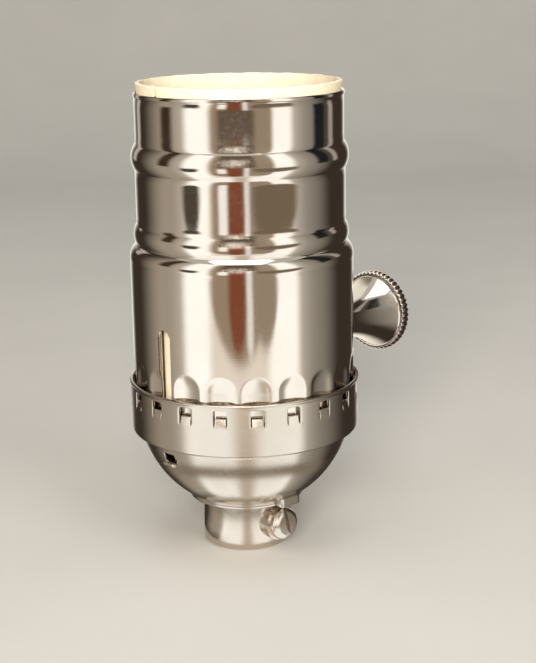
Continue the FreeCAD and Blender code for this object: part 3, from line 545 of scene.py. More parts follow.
@dataclass
class Dresser:
    """Puts pieces on their bodies and gives them their finishes.

    Attributes:
        nodes: the frame's nodes by name.
        palette: the materials made so far.
    """

    nodes: dict[str, bpy.types.Object]
    palette: Palette

    def dress(self, node: str, finish: Finish) -> None:
        """Gives a node of the frame its finish.

        Args:
            node: the node's name.
            finish: its finish.
        """
        thing = self.nodes[node]
        thing.data.materials.clear()
        thing.data.materials.append(self.palette.get(finish))
        log.info("%s keeps its own shape, finished in %s", node, finish.name)

    def add(self, thing: bpy.types.Object, body: Body, finish: Finish, slot: str, *stands_for: str) -> None:
        """Puts a new piece in.

        Args:
            thing: the piece, in place.
            body: the body that it rides on.
            finish: its finish.
            slot: the slot that the finish belongs to; not used.
            *stands_for: nodes of the frame that it replaces.
        """
        thing.data.materials.append(self.palette.get(finish))
        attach(thing, body.value)
        if stands_for:
            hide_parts(*stands_for)
        faces = len(thing.data.polygons)
        log.info("%s: %d faces on %s, finished in %s", thing.name, faces, body.value, finish.name)


# ---------------------------------------------------------------- shell and its liner
@dataclass
class Opening:
    """Slot that runs up from the foot of a round sheet to a half-round top.

    Attributes:
        angle: direction of its middle, in degrees.
        width: its width.
        top: its upper end.
    """

    angle: float
    width: float
    top: float

    def half(self, height: np.ndarray) -> np.ndarray:
        """Half width at each height: full below the round top's centre, then a circle, then nothing.

        Args:
            height: heights.

        Returns:
            The half widths there.
        """
        radius = self.width / 2.0
        over = np.clip(height - (self.top - radius), 0.0, None)
        return np.sqrt(np.clip(radius ** 2 - over ** 2, 0.0, None))

    def rows(self) -> np.ndarray:
        """Heights that the sheet needs for a smooth round top."""
        radius = self.width / 2.0
        return self.top - radius + radius * np.sin(np.linspace(0.0, math.pi / 2.0, 11))


@dataclass
class Shell:
    """Drawn shell with two beads, a ring of pressed flutes, the knob's slot and the slit, and its liner.

    Sizes are millimetres and degrees, from the lamp axis and the neck's mouth.  A wave of the liner's edge is
    its count in a turn, its phase and its height.
    """

    foot: float = 20.0
    body_r: float = 17.6
    body_top: float = 47.3
    shoulder_rise: float = 1.3
    dip_r: float = 16.55
    dip_z: float = 49.8
    shoulder_r: float = 16.9
    shoulder_top: float = 53.0
    middle_r: float = 16.4
    bead_low: float = 61.3
    bead_r: float = 16.95
    bead_top: float = 65.5
    bead_crest: float = 0.45
    upper_r: float = 16.2
    top: float = 73.2
    rim_h: float = 0.8
    roll: float = 0.12
    wall: float = 0.4
    soft_edge: float = 0.07
    flutes: int = 20
    flute_first: float = 13.5
    flute_w: float = 4.4
    flute_top: float = 31.8
    flute_depth: float = 0.45
    flute_belly: float = 0.35
    fine_over: float = 0.6
    fine_rows: int = 34
    plain_over: float = 1.0
    plain_rows: int = 24
    row_gap: float = 0.02
    columns: int = 320
    slot_reach: float = 4.0
    knob_slot: Opening = field(default_factory=lambda: Opening(0.0, 5.2, 34.8))
    slit: Opening = field(default_factory=lambda: Opening(180.0, 2.6, 38.4))
    liner_r: float = 15.75
    liner_t: float = 0.6
    liner_edge: float = 0.08
    liner_foot: float = 1.6
    liner_top: float = 74.8
    liner_bend: float = 0.3
    liner_spread: float = 0.18
    liner_slot: Opening = field(default_factory=lambda: Opening(0.0, 5.0, 34.7))
    liner_plain: tuple[float, float] = (31.0, 36.0)
    liner_columns: int = 240
    liner_waves: tuple[Triple, ...] = ((5.0, 0.0, 0.04), (13.0, 1.0, 0.03), (31.0, 0.0, 0.02))
    liner_sag: float = 0.17
    liner_lean: float = 0.6
    fray: float = 0.05
    fray_waves: tuple[float, float] = (23.0, 7.0)
    seam_w: float = 0.7
    seam_fade: float = 0.2
    seam_turn: float = 8.4
    strip_sunk: float = 0.05
    strip_half: float = 0.31
    strip_foot: float = 2.4
    strip_t: float = 0.4

    def profile(self) -> np.ndarray:
        """Outer line from foot to rim, with extra rows where the slots and flutes need them.

        Returns:
            Points of (radius, height).
        """
        fine = np.linspace(self.foot, self.flute_top + self.fine_over, self.fine_rows)
        plain = np.linspace(self.flute_top + self.plain_over, self.body_top, self.plain_rows)
        rows = np.concatenate([fine, plain, self.knob_slot.rows(), self.slit.rows()])
        heights = np.unique(np.round(rows, 3))
        heights = heights[np.concatenate([[True], np.diff(heights) > self.row_gap])]
        heights[-1] = self.body_top
        body, dip = (self.body_r, self.body_top), (self.dip_r, self.dip_z)
        over_body = (self.body_r - self.roll, self.body_top + self.shoulder_rise)
        middle, bead = (self.middle_r, self.shoulder_top), (self.middle_r, self.bead_low)
        crest = (self.bead_r, self.bead_low + self.bead_crest * (self.bead_top - self.bead_low))
        upper, rim = (self.upper_r, self.bead_top), (self.upper_r, self.top - self.rim_h)
        over_dip = (self.shoulder_r, (self.dip_z + self.shoulder_top) / 2.0)
        lip, mouth = (self.upper_r + self.roll, self.top - self.rim_h / 2.0), (self.upper_r, self.top)
        rest = path(body, (over_body, dip, 10), (over_dip, middle, 16), (bead, 8), (crest, upper, 20),
                    (rim, 6), (lip, mouth, 5))
        return np.vstack([np.stack([np.full(heights.shape, self.body_r), heights], axis=1), rest[1:]])

    def parted(self, angle: np.ndarray, height: np.ndarray, openings: tuple[Opening, ...]) -> np.ndarray:
        """Pushes the columns beside each opening apart by its half width, fading out over four half widths.

        Args:
            angle: angles of the grid, where a column on an opening's middle comes twice, a hair either side.
            height: heights of the grid.
            openings: the openings.

        Returns:
            The new angles.
        """
        moved = angle.copy()
        for one in openings:
            away = (angle - math.radians(one.angle) + math.pi) % TURN - math.pi
            half = one.half(height)
            reach = np.maximum(self.slot_reach * half, TINY)
            fade = np.clip(1.0 - np.abs(away) * self.body_r / reach, 0.0, 1.0) ** 2
            moved += np.sign(away) * half / self.body_r * fade
        return moved

    def grid(self, columns: int, rows: np.ndarray,
             openings: tuple[Opening, ...]) -> tuple[np.ndarray, np.ndarray, np.ndarray]:
        """Grid of a round sheet from the knob's slot round to it again, parted at its openings.

        Args:
            columns: steps in a turn.
            rows: heights of its rows.
            openings: the openings; both slots' middles have two columns, a hair either side.

        Returns:
            Angles, heights, and faces without those between the two columns opposite the knob.
        """
        halves = [np.linspace(start, start + math.pi, columns // 2 + 1) for start in (0.0, math.pi)]
        for half in halves:
            half[[0, -1]] += (HAIR, -HAIR)
        angle, height = np.meshgrid(np.concatenate(halves), rows)
        cells = np.delete(quads(*angle.shape), columns // 2, axis=1)
        return self.parted(angle, height, openings), height, cells

    def flute(self, angle: np.ndarray, height: np.ndarray) -> np.ndarray:
        """Depth of the flutes: a shallow trough with a round top, deepest along its middle line.

        Args:
            angle: angles of the grid.
            height: its heights.

        Returns:
            How far the sheet is pressed in at each.
        """
        pitch = TURN / self.flutes
        across = ((angle - math.radians(self.flute_first) + pitch / 2.0) % pitch - pitch / 2.0) * self.body_r
        half = self.flute_w / 2.0
        over = np.clip(height - (self.flute_top - half), 0.0, None)
        rest = np.clip(1.0 - (across ** 2 + over ** 2) / half ** 2, 0.0, 1.0)
        return self.flute_depth * rest * (1.0 + self.flute_belly * (1.0 - rest))

    def sheet(self) -> bpy.types.Object:
        """The shell: radius = profile less flute depth, over a grid whose columns part at the slots.

        Returns:
            The piece.
        """
        radius, rows = np.split(self.profile(), 2, axis=1)
        angle, height, cells = self.grid(self.columns, rows[:, 0], (self.knob_slot, self.slit))
        points = about_z(radius - self.flute(angle, height), angle, height)
        thing = mesh_piece("shell_skin", points, cells)
        thicken(thing, self.wall)
        soften(thing, self.soft_edge)
        return thing

    def liner(self) -> bpy.types.Object:
        """Rolled fibre tube whose ends meet in an open seam, turned a little from the slit's middle.

        Over the rim the radius grows and the edge sags in proportion, and a sum of sines wavers both.

        Returns:
            The piece.
        """
        bend = self.top + self.liner_bend
        rows = np.concatenate([np.linspace(self.foot + self.liner_foot, self.liner_plain[0], 8),
                               self.liner_slot.rows(), np.linspace(self.liner_plain[1], bend, 14),
                               np.linspace(bend, self.liner_top, 7)[1:]])
        angle, height, cells = self.grid(self.liner_columns, np.unique(np.round(rows, 3)), (self.liner_slot,))
        away = angle % TURN - math.pi
        gap = self.seam_w / 2.0 / self.liner_r
        angle = angle + np.sign(away) * gap * np.clip(1.0 - np.abs(away) / self.seam_fade, 0.0, 1.0)
        angle = angle - math.radians(self.seam_turn) * np.clip(1.0 - np.abs(away), 0.0, 1.0)
        rise = np.clip((height - bend) / (self.liner_top - bend), 0.0, 1.0)
        waver = sum(high * np.sin(count * angle + phase) for count, phase, high in self.liner_waves)
        fray = self.fray * np.sin(self.fray_waves[0] * angle) * np.sin(self.fray_waves[1] * angle)
        radius = self.liner_r + (self.liner_spread + waver) * rise
        height = height - rise * (self.liner_sag + fray + waver * self.liner_lean)
        thing = mesh_piece("shell_lining", about_z(radius, angle, height), cells)
        thicken(thing, self.liner_t)
        soften(thing, self.liner_edge)
        return thing

    def strip(self) -> bpy.types.Object:
        """Dark fibre strip that fills the liner's open seam, a dark sheet standing in for the shade in that
        narrow gap: a short arc, drawn up along the seam.

        Returns:
            The piece.
        """
        radius = self.liner_r - self.strip_sunk
        half = self.strip_half / radius
        angle = math.pi - math.radians(self.seam_turn) + np.linspace(-half, half, 9)
        points = about_z(radius, angle, np.linspace(self.foot + self.strip_foot, self.top, 13)[:, None])
        thing = mesh_piece("seam_strip", points, quads(*points.shape[:2]))
        thicken(thing, self.strip_t)
        return thing

    def build(self, dresser: Dresser) -> None:
        """Makes the shell and its liner and puts them on their body.

        Args:
            dresser: what puts the pieces in.
        """
        dresser.add(self.sheet(), Body.SHELL, POLISHED, "polished_nickel", "outer_shell")
        dresser.add(self.liner(), Body.SHELL, CREAM_FIBRE, "fibre_liner", "shell_liner")
        # The dark strip is painted shade in the liner's open seam.
        dresser.add(self.strip(), Body.SHELL, DARK_FIBRE, "fibre_liner")


# ---------------------------------------------------------------- cap
@dataclass
class Cap:
    """Drawn cap: bowl, groove, band with lanced windows, square hole with its lip and the guard tab.

    Sizes are millimetres and degrees, from the lamp axis and the neck's mouth.  A place along the guard tab
    is its distance from the axis and how much narrower the tab is there all round.
    """

    wall: float = 0.5
    soft_edge: float = 0.09
    neck_r: float = 7.05
    low: float = 7.8
    lip_r: float = 9.3
    lip_edge: float = 0.6
    bowl_r: float = 17.3
    bowl_z: float = 23.3
    groove_r: float = 16.75
    groove_dip: float = 0.06
    band_r: float = 18.25
    band_low: float = 19.5
    band_edge: float = 0.6
    band_top: float = 27.8
    flare: float = 0.2
    windows: int = 20
    window_first: float = 13.5
    window_w: float = 2.1
    window_low: float = 24.4
    window_top: float = 27.1
    nip: float = 0.09
    tongue_top: float = 25.75
    tongue_in: float = 0.3
    tongue_lean: float = 1.3
    tongue_slack: float = 0.06
    hole_angle: float = 177.0
    hole_w: float = 2.3
    hole_low: float = 16.7
    hole_top: float = 18.3
    hole_lip: float = 0.7
    hole_curl: float = 0.35
    hole_lap: float = 0.02
    hole_taper: float = 0.06
    guard_angle: float = 264.0
    guard_w: float = 3.8
    guard_low: float = 8.0
    guard_top: float = 9.7
    guard_power: float = 0.28
    guard_places: tuple[Point, ...] = (
        (9.05, 0.0), (10.0, 0.0), (10.6, 0.0), (10.82, 0.1), (10.9, 0.3), (10.9, 0.6))
    across_window: int = 6
    across_land: int = 10
    steps: int = 7

    @property
    def pitch(self) -> float:
        """Angle from window to window."""
        return 360.0 / self.windows

    @property
    def window_half(self) -> float:
        """Half the angle that a window takes."""
        return math.degrees(self.window_w / 2.0 / self.band_r)

    def bowl_height(self, radius: float) -> float:
        """Height of the bowl's lower half at a radius."""
        return self.bowl_z - math.sqrt(self.bowl_r ** 2 - radius ** 2)

    def bowl_radius(self, height: float) -> float:
        """Radius of the bowl at a height."""
        return math.sqrt(self.bowl_r ** 2 - (self.bowl_z - height) ** 2)

    def profile(self) -> np.ndarray:
        """Outer line from the neck's hole to the rim; rows meet the edges of the hole and the windows.

        Returns:
            Points of (radius, height).
        """
        foot, lip = (self.lip_r - self.lip_edge, self.low), (self.lip_r, self.low + self.lip_edge)
        corner, edge = (size * (1.0 - math.sqrt(0.5)) for size in (self.lip_edge, self.band_edge))
        turns = [math.atan2(self.bowl_height(self.lip_r) - self.bowl_z, self.lip_r)]
        turns += [math.asin((z - self.bowl_z) / self.bowl_r) for z in (self.hole_low, self.hole_top)]
        turns += [math.atan2(self.bowl_height(self.groove_r) - self.bowl_z, self.groove_r)]
        turn = np.concatenate([np.linspace(turns[0], turns[1], 22), np.linspace(turns[1], turns[2], 7)[1:],
                               np.linspace(turns[2], turns[3], 4)[1:]])
        bowl = np.stack([self.bowl_r * np.cos(turn), self.bowl_z + self.bowl_r * np.sin(turn)], axis=1)
        below = path((self.neck_r, self.low), (foot, 4), ((self.lip_r - corner, self.low + corner), lip, 5),
                     ((self.lip_r, self.bowl_height(self.lip_r)), 2))
        dip = (self.groove_r - self.groove_dip, (bowl[-1, 1] + self.band_low) / 2.0)
        under = (self.band_r - self.band_edge, self.band_low)
        turned = (self.band_r - edge, self.band_low + edge)
        above = path((self.groove_r, bowl[-1, 1]), (dip, (self.groove_r, self.band_low), 4), (under, 2),
                     (turned, (self.band_r, self.band_low + self.band_edge), 6),
                     ((self.band_r, self.window_low), 8), ((self.band_r, self.window_top), 9),
                     ((self.band_r, self.band_top - 2 * self.flare), 2),
                     ((self.band_r + self.flare, self.band_top), 3))
        return np.vstack([below, bowl[1:], above[1:]])

    def column_angles(self) -> np.ndarray:
        """Angles of one full turn of columns that meet both edges of every window.

        Returns:
            The angles, in degrees.
        """
        half = self.window_half
        one = np.concatenate([np.linspace(-half, half, self.across_window + 1)[:-1],
                              np.linspace(half, self.pitch - half, self.across_land + 1)[:-1]])
        first = self.window_first + self.pitch * np.arange(self.windows)[:, None]
        return (first + one[None, :]).reshape(-1)

    def body(self) -> tuple[np.ndarray, np.ndarray]:
        """Grid of the cap with its windows and hole left open.

        Down the bowl the columns widen and turn until one window's columns meet the sides of the square hole.

        Returns:
            Points shaped (rows, columns, 3), and a mask of the cells that stay.
        """
        radius, rows = np.split(self.profile(), 2, axis=1)
        angle, height = np.meshgrid(self.column_angles(), rows[:, 0])
        pitch, half = self.pitch, self.window_half
        hole_half = math.degrees(self.hole_w / 2.0 / self.bowl_radius((self.hole_low + self.hole_top) / 2.0))
        local = (angle - self.window_first + pitch / 2.0) % pitch - pitch / 2.0
        wide = np.interp(np.abs(local), [0.0, half, pitch / 2.0], [0.0, hole_half, pitch / 2.0])
        shift = (self.hole_angle - self.window_first + pitch / 2.0) % pitch - pitch / 2.0
        bowl = np.clip((self.band_low - height) / (self.band_low - self.hole_top), 0.0, 1.0)
        angle = angle + bowl * (wide * np.sign(local) - local + shift)
        ends = [np.isclose(height, z, atol=NEAR) for z in (self.window_low, self.window_top)]
        corners = np.isclose(np.abs(local), half, atol=NEAR) & (ends[0] | ends[1])
        angle = np.where(corners, angle - np.sign(local) * math.degrees(self.nip / self.band_r), angle)
        middle = (self.window_low + self.window_top) / 2.0
        lifted = np.where(corners, height + np.sign(middle - height) * self.nip, height)
        z = (rows[:-1, 0] + rows[1:, 0]) / 2.0
        window_rows = (z > self.window_low) & (z < self.window_top)
        hole_rows = (z > self.hole_low) & (z < self.hole_top)
        period, column = np.divmod(np.arange(angle.shape[1]), self.across_window + self.across_land)
        hole = round((self.hole_angle - shift - self.window_first) / pitch) % self.windows
        stay = np.ones((z.size, column.size), bool)
        stay[np.ix_(window_rows, column < self.across_window)] = False
        stay[np.ix_(hole_rows, (period == hole) & (column < self.across_window))] = False
        return about_z(radius, np.radians(angle), lifted), stay

    def tongues(self, points: np.ndarray) -> np.ndarray:
        """Grids of the tongues: each grows from the lower edge of its window and leans in as t ** 1.3.

        Args:
            points: the cap's grid.

        Returns:
            Points shaped (windows, rows, columns, 3), whose first rows are the windows' lower edges.
        """
        row = int(np.argmin(np.abs(self.profile()[:, 1] - self.window_low)))
        step = self.across_window + self.across_land
        columns = step * np.arange(self.windows)[:, None] + np.arange(self.across_window + 1)
        root = points[row][columns][:, None]
        level, turn = np.hypot(root[..., 0], root[..., 1]), np.arctan2(root[..., 1], root[..., 0])
        middle = turn[..., self.across_window // 2][..., None]
        t = np.linspace(0.0, 1.0, self.steps)[:, None]
        inset = 1.0 - self.tongue_slack * np.clip(4.0 * t, 0.0, 1.0)
        angle = middle + ((turn - middle + math.pi) % TURN - math.pi) * inset
        height = root[..., 2] * (1.0 - t) + self.tongue_top * t
        return about_z(level - self.tongue_in * t ** self.tongue_lean, angle, height)

    def lip_grid(self) -> np.ndarray:
        """Lip of the square hole: a short sheet that curls out and up from its lower edge as t ** 1.5.

        Returns:
            Points shaped (rows, columns, 3).
        """
        t = np.linspace(0.0, 1.0, self.steps)[:, None]
        radius = self.bowl_radius(self.hole_low) - self.hole_lap + self.hole_lip * t
        height = self.hole_low + self.hole_lap + self.hole_curl * self.hole_lip * t ** 1.5
        u = np.linspace(-1.0, 1.0, self.steps) * (self.hole_w / 2.0 - self.hole_taper * t)
        out, side, up = axes(self.hole_angle)
        return radius[..., None] * out + u[..., None] * side + height[..., None] * up

    def sheet(self) -> bpy.types.Object:
        """The cap: profile turned about the axis, less the windows and the hole, with tongues and lip.

        Returns:
            The piece.
        """
        points, stay = self.body()
        tongues, lip = self.tongues(points), self.lip_grid()
        count, per = points.size // 3, tongues[0].size // 3
        tongue = count + per * np.arange(self.windows)[:, None, None, None] + quads(*tongues.shape[1:3])
        curl = (count + per * self.windows + quads(*lip.shape[:2]))[..., ::-1]
        everything = np.concatenate([grid.reshape(-1, 3) for grid in (points, tongues, lip)])
        thing = mesh_piece("cap_skin", everything, quads(*points.shape[:2], wrap=True)[stay], tongue, curl)
        thicken(thing, self.wall)
        soften(thing, self.soft_edge)
        return thing

    def guard(self) -> bpy.types.Object:
        """Tab over the set screw: a rounded bar pushed out of the cap's foot, closed at its outer end.

        Each section is an oval squared off by raising |cos| and |sin| to a small power.

        Returns:
            The piece.
        """
        half_w, half_h = self.guard_w / 2.0, (self.guard_top - self.guard_low) / 2.0
        turn = np.linspace(0.0, TURN, 49)[:-1]
        y, z = (np.sign(f) * np.abs(f) ** self.guard_power for f in (np.cos(turn), np.sin(turn)))
        reach, inset = (column[:, None] for column in np.array(self.guard_places).T)
        out, side, up = axes(self.guard_angle)
        points = (reach[..., None] * out + (y * (half_w - inset))[..., None] * side
                  + (self.guard_low + half_h + z * (half_h - inset))[..., None] * up)
        end = np.arange(turn.size)
        last = (len(self.guard_places) - 1) * turn.size + end
        return mesh_piece("guard_tab", points, quads(*points.shape[:2], wrap=True), last[None, :],
                          end[::-1][None, :])

    def build(self, dresser: Dresser) -> None:
        """Makes the cap and its guard tab and puts them on the holder.

        Args:
            dresser: what puts the pieces in.
        """
        dresser.add(self.sheet(), Body.HOLDER, SATIN, "satin_nickel", "cap")
        dresser.add(self.guard(), Body.HOLDER, SATIN, "satin_nickel")
        dresser.dress("cap_liner", DARK_FIBRE)


# ---------------------------------------------------------------- knob
@dataclass
class Knob:
    """Turned knob: slim neck, trumpet back, beaded rim and a low dome in front.

    Sizes are millimetres; places along the shaft are distances from the lamp axis.
    """

    height: float = 32.1
    inner: float = 19.3
    rim: float = 33.2
    rim_t: float = 1.7
    radius: float = 7.1
    neck_r: float = 2.9
    neck_l: float = 3.2
    neck_edge: float = 0.3
    trumpet: Point = (9.6, 1.05)
    back_step: float = 0.2
    dome: float = 0.885
    groove: float = 0.3
    groove_round: float = 0.75
    beads: int = 48
    per_bead: int = 8
    bead_depth: float = 0.3
    bead_power: float = 0.75
    edge: float = 0.3
    hole_r: float = 1.75
    hole_l: float = 7.0

    def profile(self) -> np.ndarray:
        """Line of (place along the shaft, radius) from the stud's hole, over the back, round to the dome.

        Returns:
            The points.
        """
        flare_r = self.radius - self.bead_depth - self.edge - self.back_step
        foot_r = flare_r - self.groove
        out = self.rim + self.rim_t
        rise = self.dome + self.groove
        bow = (rise ** 2 + foot_r ** 2) / (2.0 * rise)
        turn = np.linspace(math.asin(foot_r / bow), 0.0, 16)
        front = np.stack([out + self.dome - bow + bow * np.cos(turn), bow * np.sin(turn)], axis=1)
        hole, mouth = (self.inner + self.hole_l, self.hole_r), (self.inner, self.hole_r)
        end, cut = (self.inner, self.neck_r - self.neck_edge), 0.3 * self.neck_edge
        neck, waist = (self.inner + self.neck_edge, self.neck_r), (self.inner + self.neck_l, self.neck_r)
        bell = (self.inner + self.trumpet[0], self.neck_r + self.trumpet[1])
        back, back_rim = (self.rim, flare_r), (self.rim, self.radius - self.edge)
        front_rim, face = (out, self.radius - self.edge), (out, flare_r)
        crest = (self.rim + self.rim_t / 2.0, self.radius)
        ditch = (out - self.groove * self.groove_round, (flare_r + foot_r) / 2.0)
        turned = path((hole[0], 0.0), (hole, 2), (mouth, 2), (end, 2),
                      ((self.inner + cut, self.neck_r - cut), neck, 4), (waist, 4), (bell, back, 30),
                      (back_rim, 3), (crest, front_rim, 10), (face, 3),
                      (ditch, (out - self.groove, foot_r), 4))
        return np.vstack([turned, front[1:]])

    def turned(self) -> bpy.types.Object:
        """The knob: profile turned about the shaft, its rim broken into round beads by |cos| lobes.

        Returns:
            The piece.
        """
        along, radius = np.split(self.profile(), 2, axis=1)
        angle = np.linspace(0.0, TURN, self.beads * self.per_bead + 1)[:-1]
        beaded = np.clip((radius - (self.radius - self.edge - self.bead_depth)) / self.bead_depth, 0.0, 1.0)
        lobe = 1.0 - np.abs(np.cos(angle * self.beads / 2.0)) ** self.bead_power
        radius = radius - self.bead_depth * lobe * beaded * (along > self.rim - TINY)
        points = about_z(radius, angle, along)[..., [2, 0, 1]] + np.array([0.0, 0.0, self.height])
        return mesh_piece("turn_knob", points, quads(*points.shape[:2], wrap=True)[..., ::-1])

    def build(self, dresser: Dresser) -> None:
        """Makes the knob and dresses what turns with it.

        Args:
            dresser: what puts the pieces in.
        """
        dresser.add(self.turned(), Body.KNOB, KNOB_NICKEL, "polished_nickel", "knob")
        dresser.dress("switch_shaft", STEEL)
        dresser.dress("switch_rotor", RED_FIBRE)
        dresser.dress("rotor_collar", RED_FIBRE)
        dresser.dress("rotor_bridge", BRASS)


# ---------------------------------------------------------------- what keeps its own shape
@dataclass
class Inside:
    """Porcelain blocks, terminals, contacts and screws, and the neck with its set screw."""

    finishes: dict[str, Finish] = field(default_factory=lambda: {
        "neck_bushing": TURNED, "set_screw": SCREW_NICKEL, "shaft_bush": BRASS, "detent_spring": BRONZE,
        "switch_base": GLAZE, "contact_base": GLAZE, "tie_screws": STEEL, "line_terminal": BRASS,
        "neutral_terminal": BRASS, "load_strap": BRASS, "line_screw": BRASS, "neutral_screw": SCREW_NICKEL,
        "screw_shell": BRASS_SPUN, "shell_rivets": BRASS, "centre_contact": BRONZE, "contact_rivet": BRASS,
    })

    def build(self, dresser: Dresser) -> None:
        """Gives each of these its finish."""
        for node, finish in self.finishes.items():
            dresser.dress(node, finish)


# ---------------------------------------------------------------- floor, lamps and camera
@dataclass(frozen=True)
class Softbox:
    """Rectangular lamp that faces the holder.

    Attributes:
        name: its name.
        azimuth: where it stands, in degrees from +X.
        distance: how far from the lamp axis, in metres.
        height: height of its middle, in metres.
        width: its width, in metres.
        tall: its height, in metres.
        power: watts.
        tint: its colour.
    """

    name: str
    azimuth: float
    distance: float
    height: float
    width: float
    tall: float
    power: float
    tint: str = "#ffffff"

    def build(self, target: Vector) -> None:
        """Places the lamp and turns it to the target.

        Args:
            target: the place that it faces.
        """
        data = bpy.data.lights.new(self.name, "AREA")
        data.shape = "RECTANGLE"
        data.size = self.width
        data.size_y = self.tall
        data.energy = self.power
        data.color = linear(self.tint)[:3]
        lamp = bpy.data.objects.new(self.name, data)
        turn = math.radians(self.azimuth)
        place = Vector((self.distance * math.cos(turn), self.distance * math.sin(turn), self.height))
        facing = (target - place).to_track_quat("-Z", "Y").to_matrix().to_4x4()
        lamp.matrix_world = Matrix.Translation(place) @ facing
        bpy.context.scene.collection.objects.link(lamp)
        log.info("lamp %s", self.name)


@dataclass(frozen=True)
class Band:
    """Upright band of painted reflection on the screen, with soft sides and a rounded lower end.

    Attributes:
        azimuth: direction of its middle, in degrees from +X.
        half: half its width, in degrees.
        soft: width of its soft sides, in degrees.
        tone: brightness.
        tint: hue.
        low: height of its lower end, in millimetres.
        high: height of its upper end, in millimetres.
        rounding: how much higher the lower end lies at the sides, in millimetres.
        share: how far it covers what lies under it.
        fade: height over which its ends fade, in millimetres.
    """

    azimuth: float
    half: float
    soft: float
    tone: float
    tint: str = "#ffffff"
    low: float = -50.0
    high: float = 400.0
    rounding: float = 0.0
    share: float = 1.0
    fade: float = 4.0

    def weight(self, angle: np.ndarray, height: np.ndarray) -> np.ndarray:
        """Cover at each place: one inside, falling over the soft sides by a smooth step.

        Args:
            angle: directions, in degrees.
            height: heights, in millimetres.

        Returns:
            The cover, from 0 to the band's share.
        """
        away = np.abs((angle - self.azimuth + 180.0) % 360.0 - 180.0)
        side = np.clip((self.half - away) / self.soft + 0.5, 0.0, 1.0)
        foot = self.low + self.rounding * np.clip(away / self.half, 0.0, 1.5) ** 2
        under = np.clip((height - foot) / self.fade + 0.5, 0.0, 1.0)
        over = np.clip((self.high - height) / self.fade + 0.5, 0.0, 1.0)
        both = side * under * over
        return self.share * both * both * (3.0 - 2.0 * both)


@dataclass
class Screen:
    """Round glowing screen close about the holder that only mirrors show: its bands are painted reflections,
    set so that chosen parts of the polished metal mirror bright, dark and tinted streaks.

    Attributes:
        radius: its distance from the lamp axis, in millimetres.
        top: its height, in millimetres.
        reach_in: how near the axis the tray under it comes, in millimetres.
        steps: vertices round it, along the tray and up the wall.
        base_tone: brightness between the bands.
        base_tint: hue between the bands.
        bands: the bands, each laid over those before it.
    """

    radius: float = 60.0
    top: float = 120.0
    reach_in: float = 9.0
    steps: tuple[int, int, int] = (361, 35, 81)
    base_tone: float = 0.19
    base_tint: str = "#8f7f70"
    # Painted reflections: each band is a streak of brightness and tint that a chosen part of the metal
    # mirrors.
    bands: tuple[Band, ...] = (
        # Behind the holder.
        Band(43.5, 36.0, 24.0, 1.15, "#fffaf2"),
        Band(50.0, 9.0, 9.0, 0.40, "#e6d6c2", low=20.0, rounding=6.0),
        Band(96.0, 5.0, 6.0, 0.60, "#fff6ea", low=58.0),
        Band(327.0, 4.0, 6.0, 0.50, "#fff6ea", low=58.0),
        # Either side, and the broad pale front.
        Band(146.0, 18.0, 40.0, 0.50, "#fff1de"),
        Band(294.0, 16.0, 34.0, 0.34, "#fff6ea"),
        Band(222.0, 56.0, 40.0, 1.10, "#fff8ee"),
        Band(182.5, 12.0, 10.0, 1.60),
        Band(259.5, 14.0, 9.0, 1.55),
        # Low down, for the cap and the neck.
        Band(222.0, 44.0, 26.0, 1.45, low=-70.0, high=17.0),
        Band(224.0, 9.0, 14.0, 0.85, "#f6e8d6", low=-70.0, high=17.0),
        Band(222.0, 90.0, 60.0, 0.45, "#d9c7b0", low=-40.0, high=-33.0),
        # The shell's body, with a reddish painted reflection down its middle.
        Band(221.0, 25.0, 8.0, 0.52, "#ecd2b6", low=22.0, rounding=11.0),
        Band(219.0, 7.5, 6.0, 0.46, "#d07a58", low=24.0, rounding=6.0),
        Band(229.5, 2.6, 3.0, 1.15, low=24.0),
        Band(243.0, 11.0, 6.0, 0.50, "#efd9c0", low=25.0, rounding=8.0),
        # Its middle, between the beads.
        Band(176.0, 9.0, 7.0, 0.17, "#c9b49c", low=44.0, high=57.0, rounding=4.0),
        Band(256.0, 22.0, 9.0, 0.34, "#dcc3a6", low=42.0, high=57.0, rounding=6.0),
        Band(207.0, 4.0, 4.0, 1.35, low=40.0, high=57.0),
        # The ring over the upper bead.
        Band(220.0, 17.0, 7.0, 0.24, "#d8bfa6", low=61.0),
        Band(308.0, 8.0, 6.0, 0.06, "#9a9aa8", low=58.0),
        Band(148.0, 7.0, 8.0, 0.13, "#b49878", low=58.0),
    )

    def build(self, dresser: Dresser) -> None:
        """Lays the bands over each other on a fine grid: an upright wall, and a tray in to the neck under it.

        On the tray a place's height counts as its distance from the wall, below nothing.

        Args:
            dresser: what puts the pieces in.
        """
        round_, inwards, upwards = self.steps
        levels = np.concatenate([np.linspace(self.reach_in - self.radius, 0.0, inwards)[:-1],
                                 np.linspace(0.0, self.top, upwards)])
        angle, height = np.meshgrid(np.linspace(0.0, 360.0, round_), levels)
        shade = np.full(angle.shape + (4,), np.array(linear(self.base_tint)) * self.base_tone)
        for band in self.bands:
            cover = band.weight(angle, height)[..., None]
            shade = shade * (1.0 - cover) + np.array(linear(band.tint)) * band.tone * cover
        shade[..., 3] = 1.0
        away = self.radius + np.minimum(height, 0.0)
        points = about_z(away, np.radians(angle), np.maximum(height, FLOOR_GAP)) * MM
        mesh = bpy.data.meshes.new("screen")
        mesh.from_pydata(points.reshape(-1, 3).tolist(), [], quads(*angle.shape).reshape(-1, 4).tolist())
        layer = mesh.color_attributes.new(PAINTED_REFLECTIONS.layer, "FLOAT_COLOR", "POINT")
        layer.data.foreach_set("color", shade.astype(np.float32).ravel())
        mesh.materials.append(dresser.palette.get(PAINTED_REFLECTIONS))
        thing = bpy.data.objects.new("screen", mesh)
        bpy.context.scene.collection.objects.link(thing)
        # Hidden from the camera, from diffuse light and from shadows: the screen only paints reflections in
        # the metal.
        thing.visible_camera = thing.visible_diffuse = False
        thing.visible_shadow = thing.visible_transmission = False


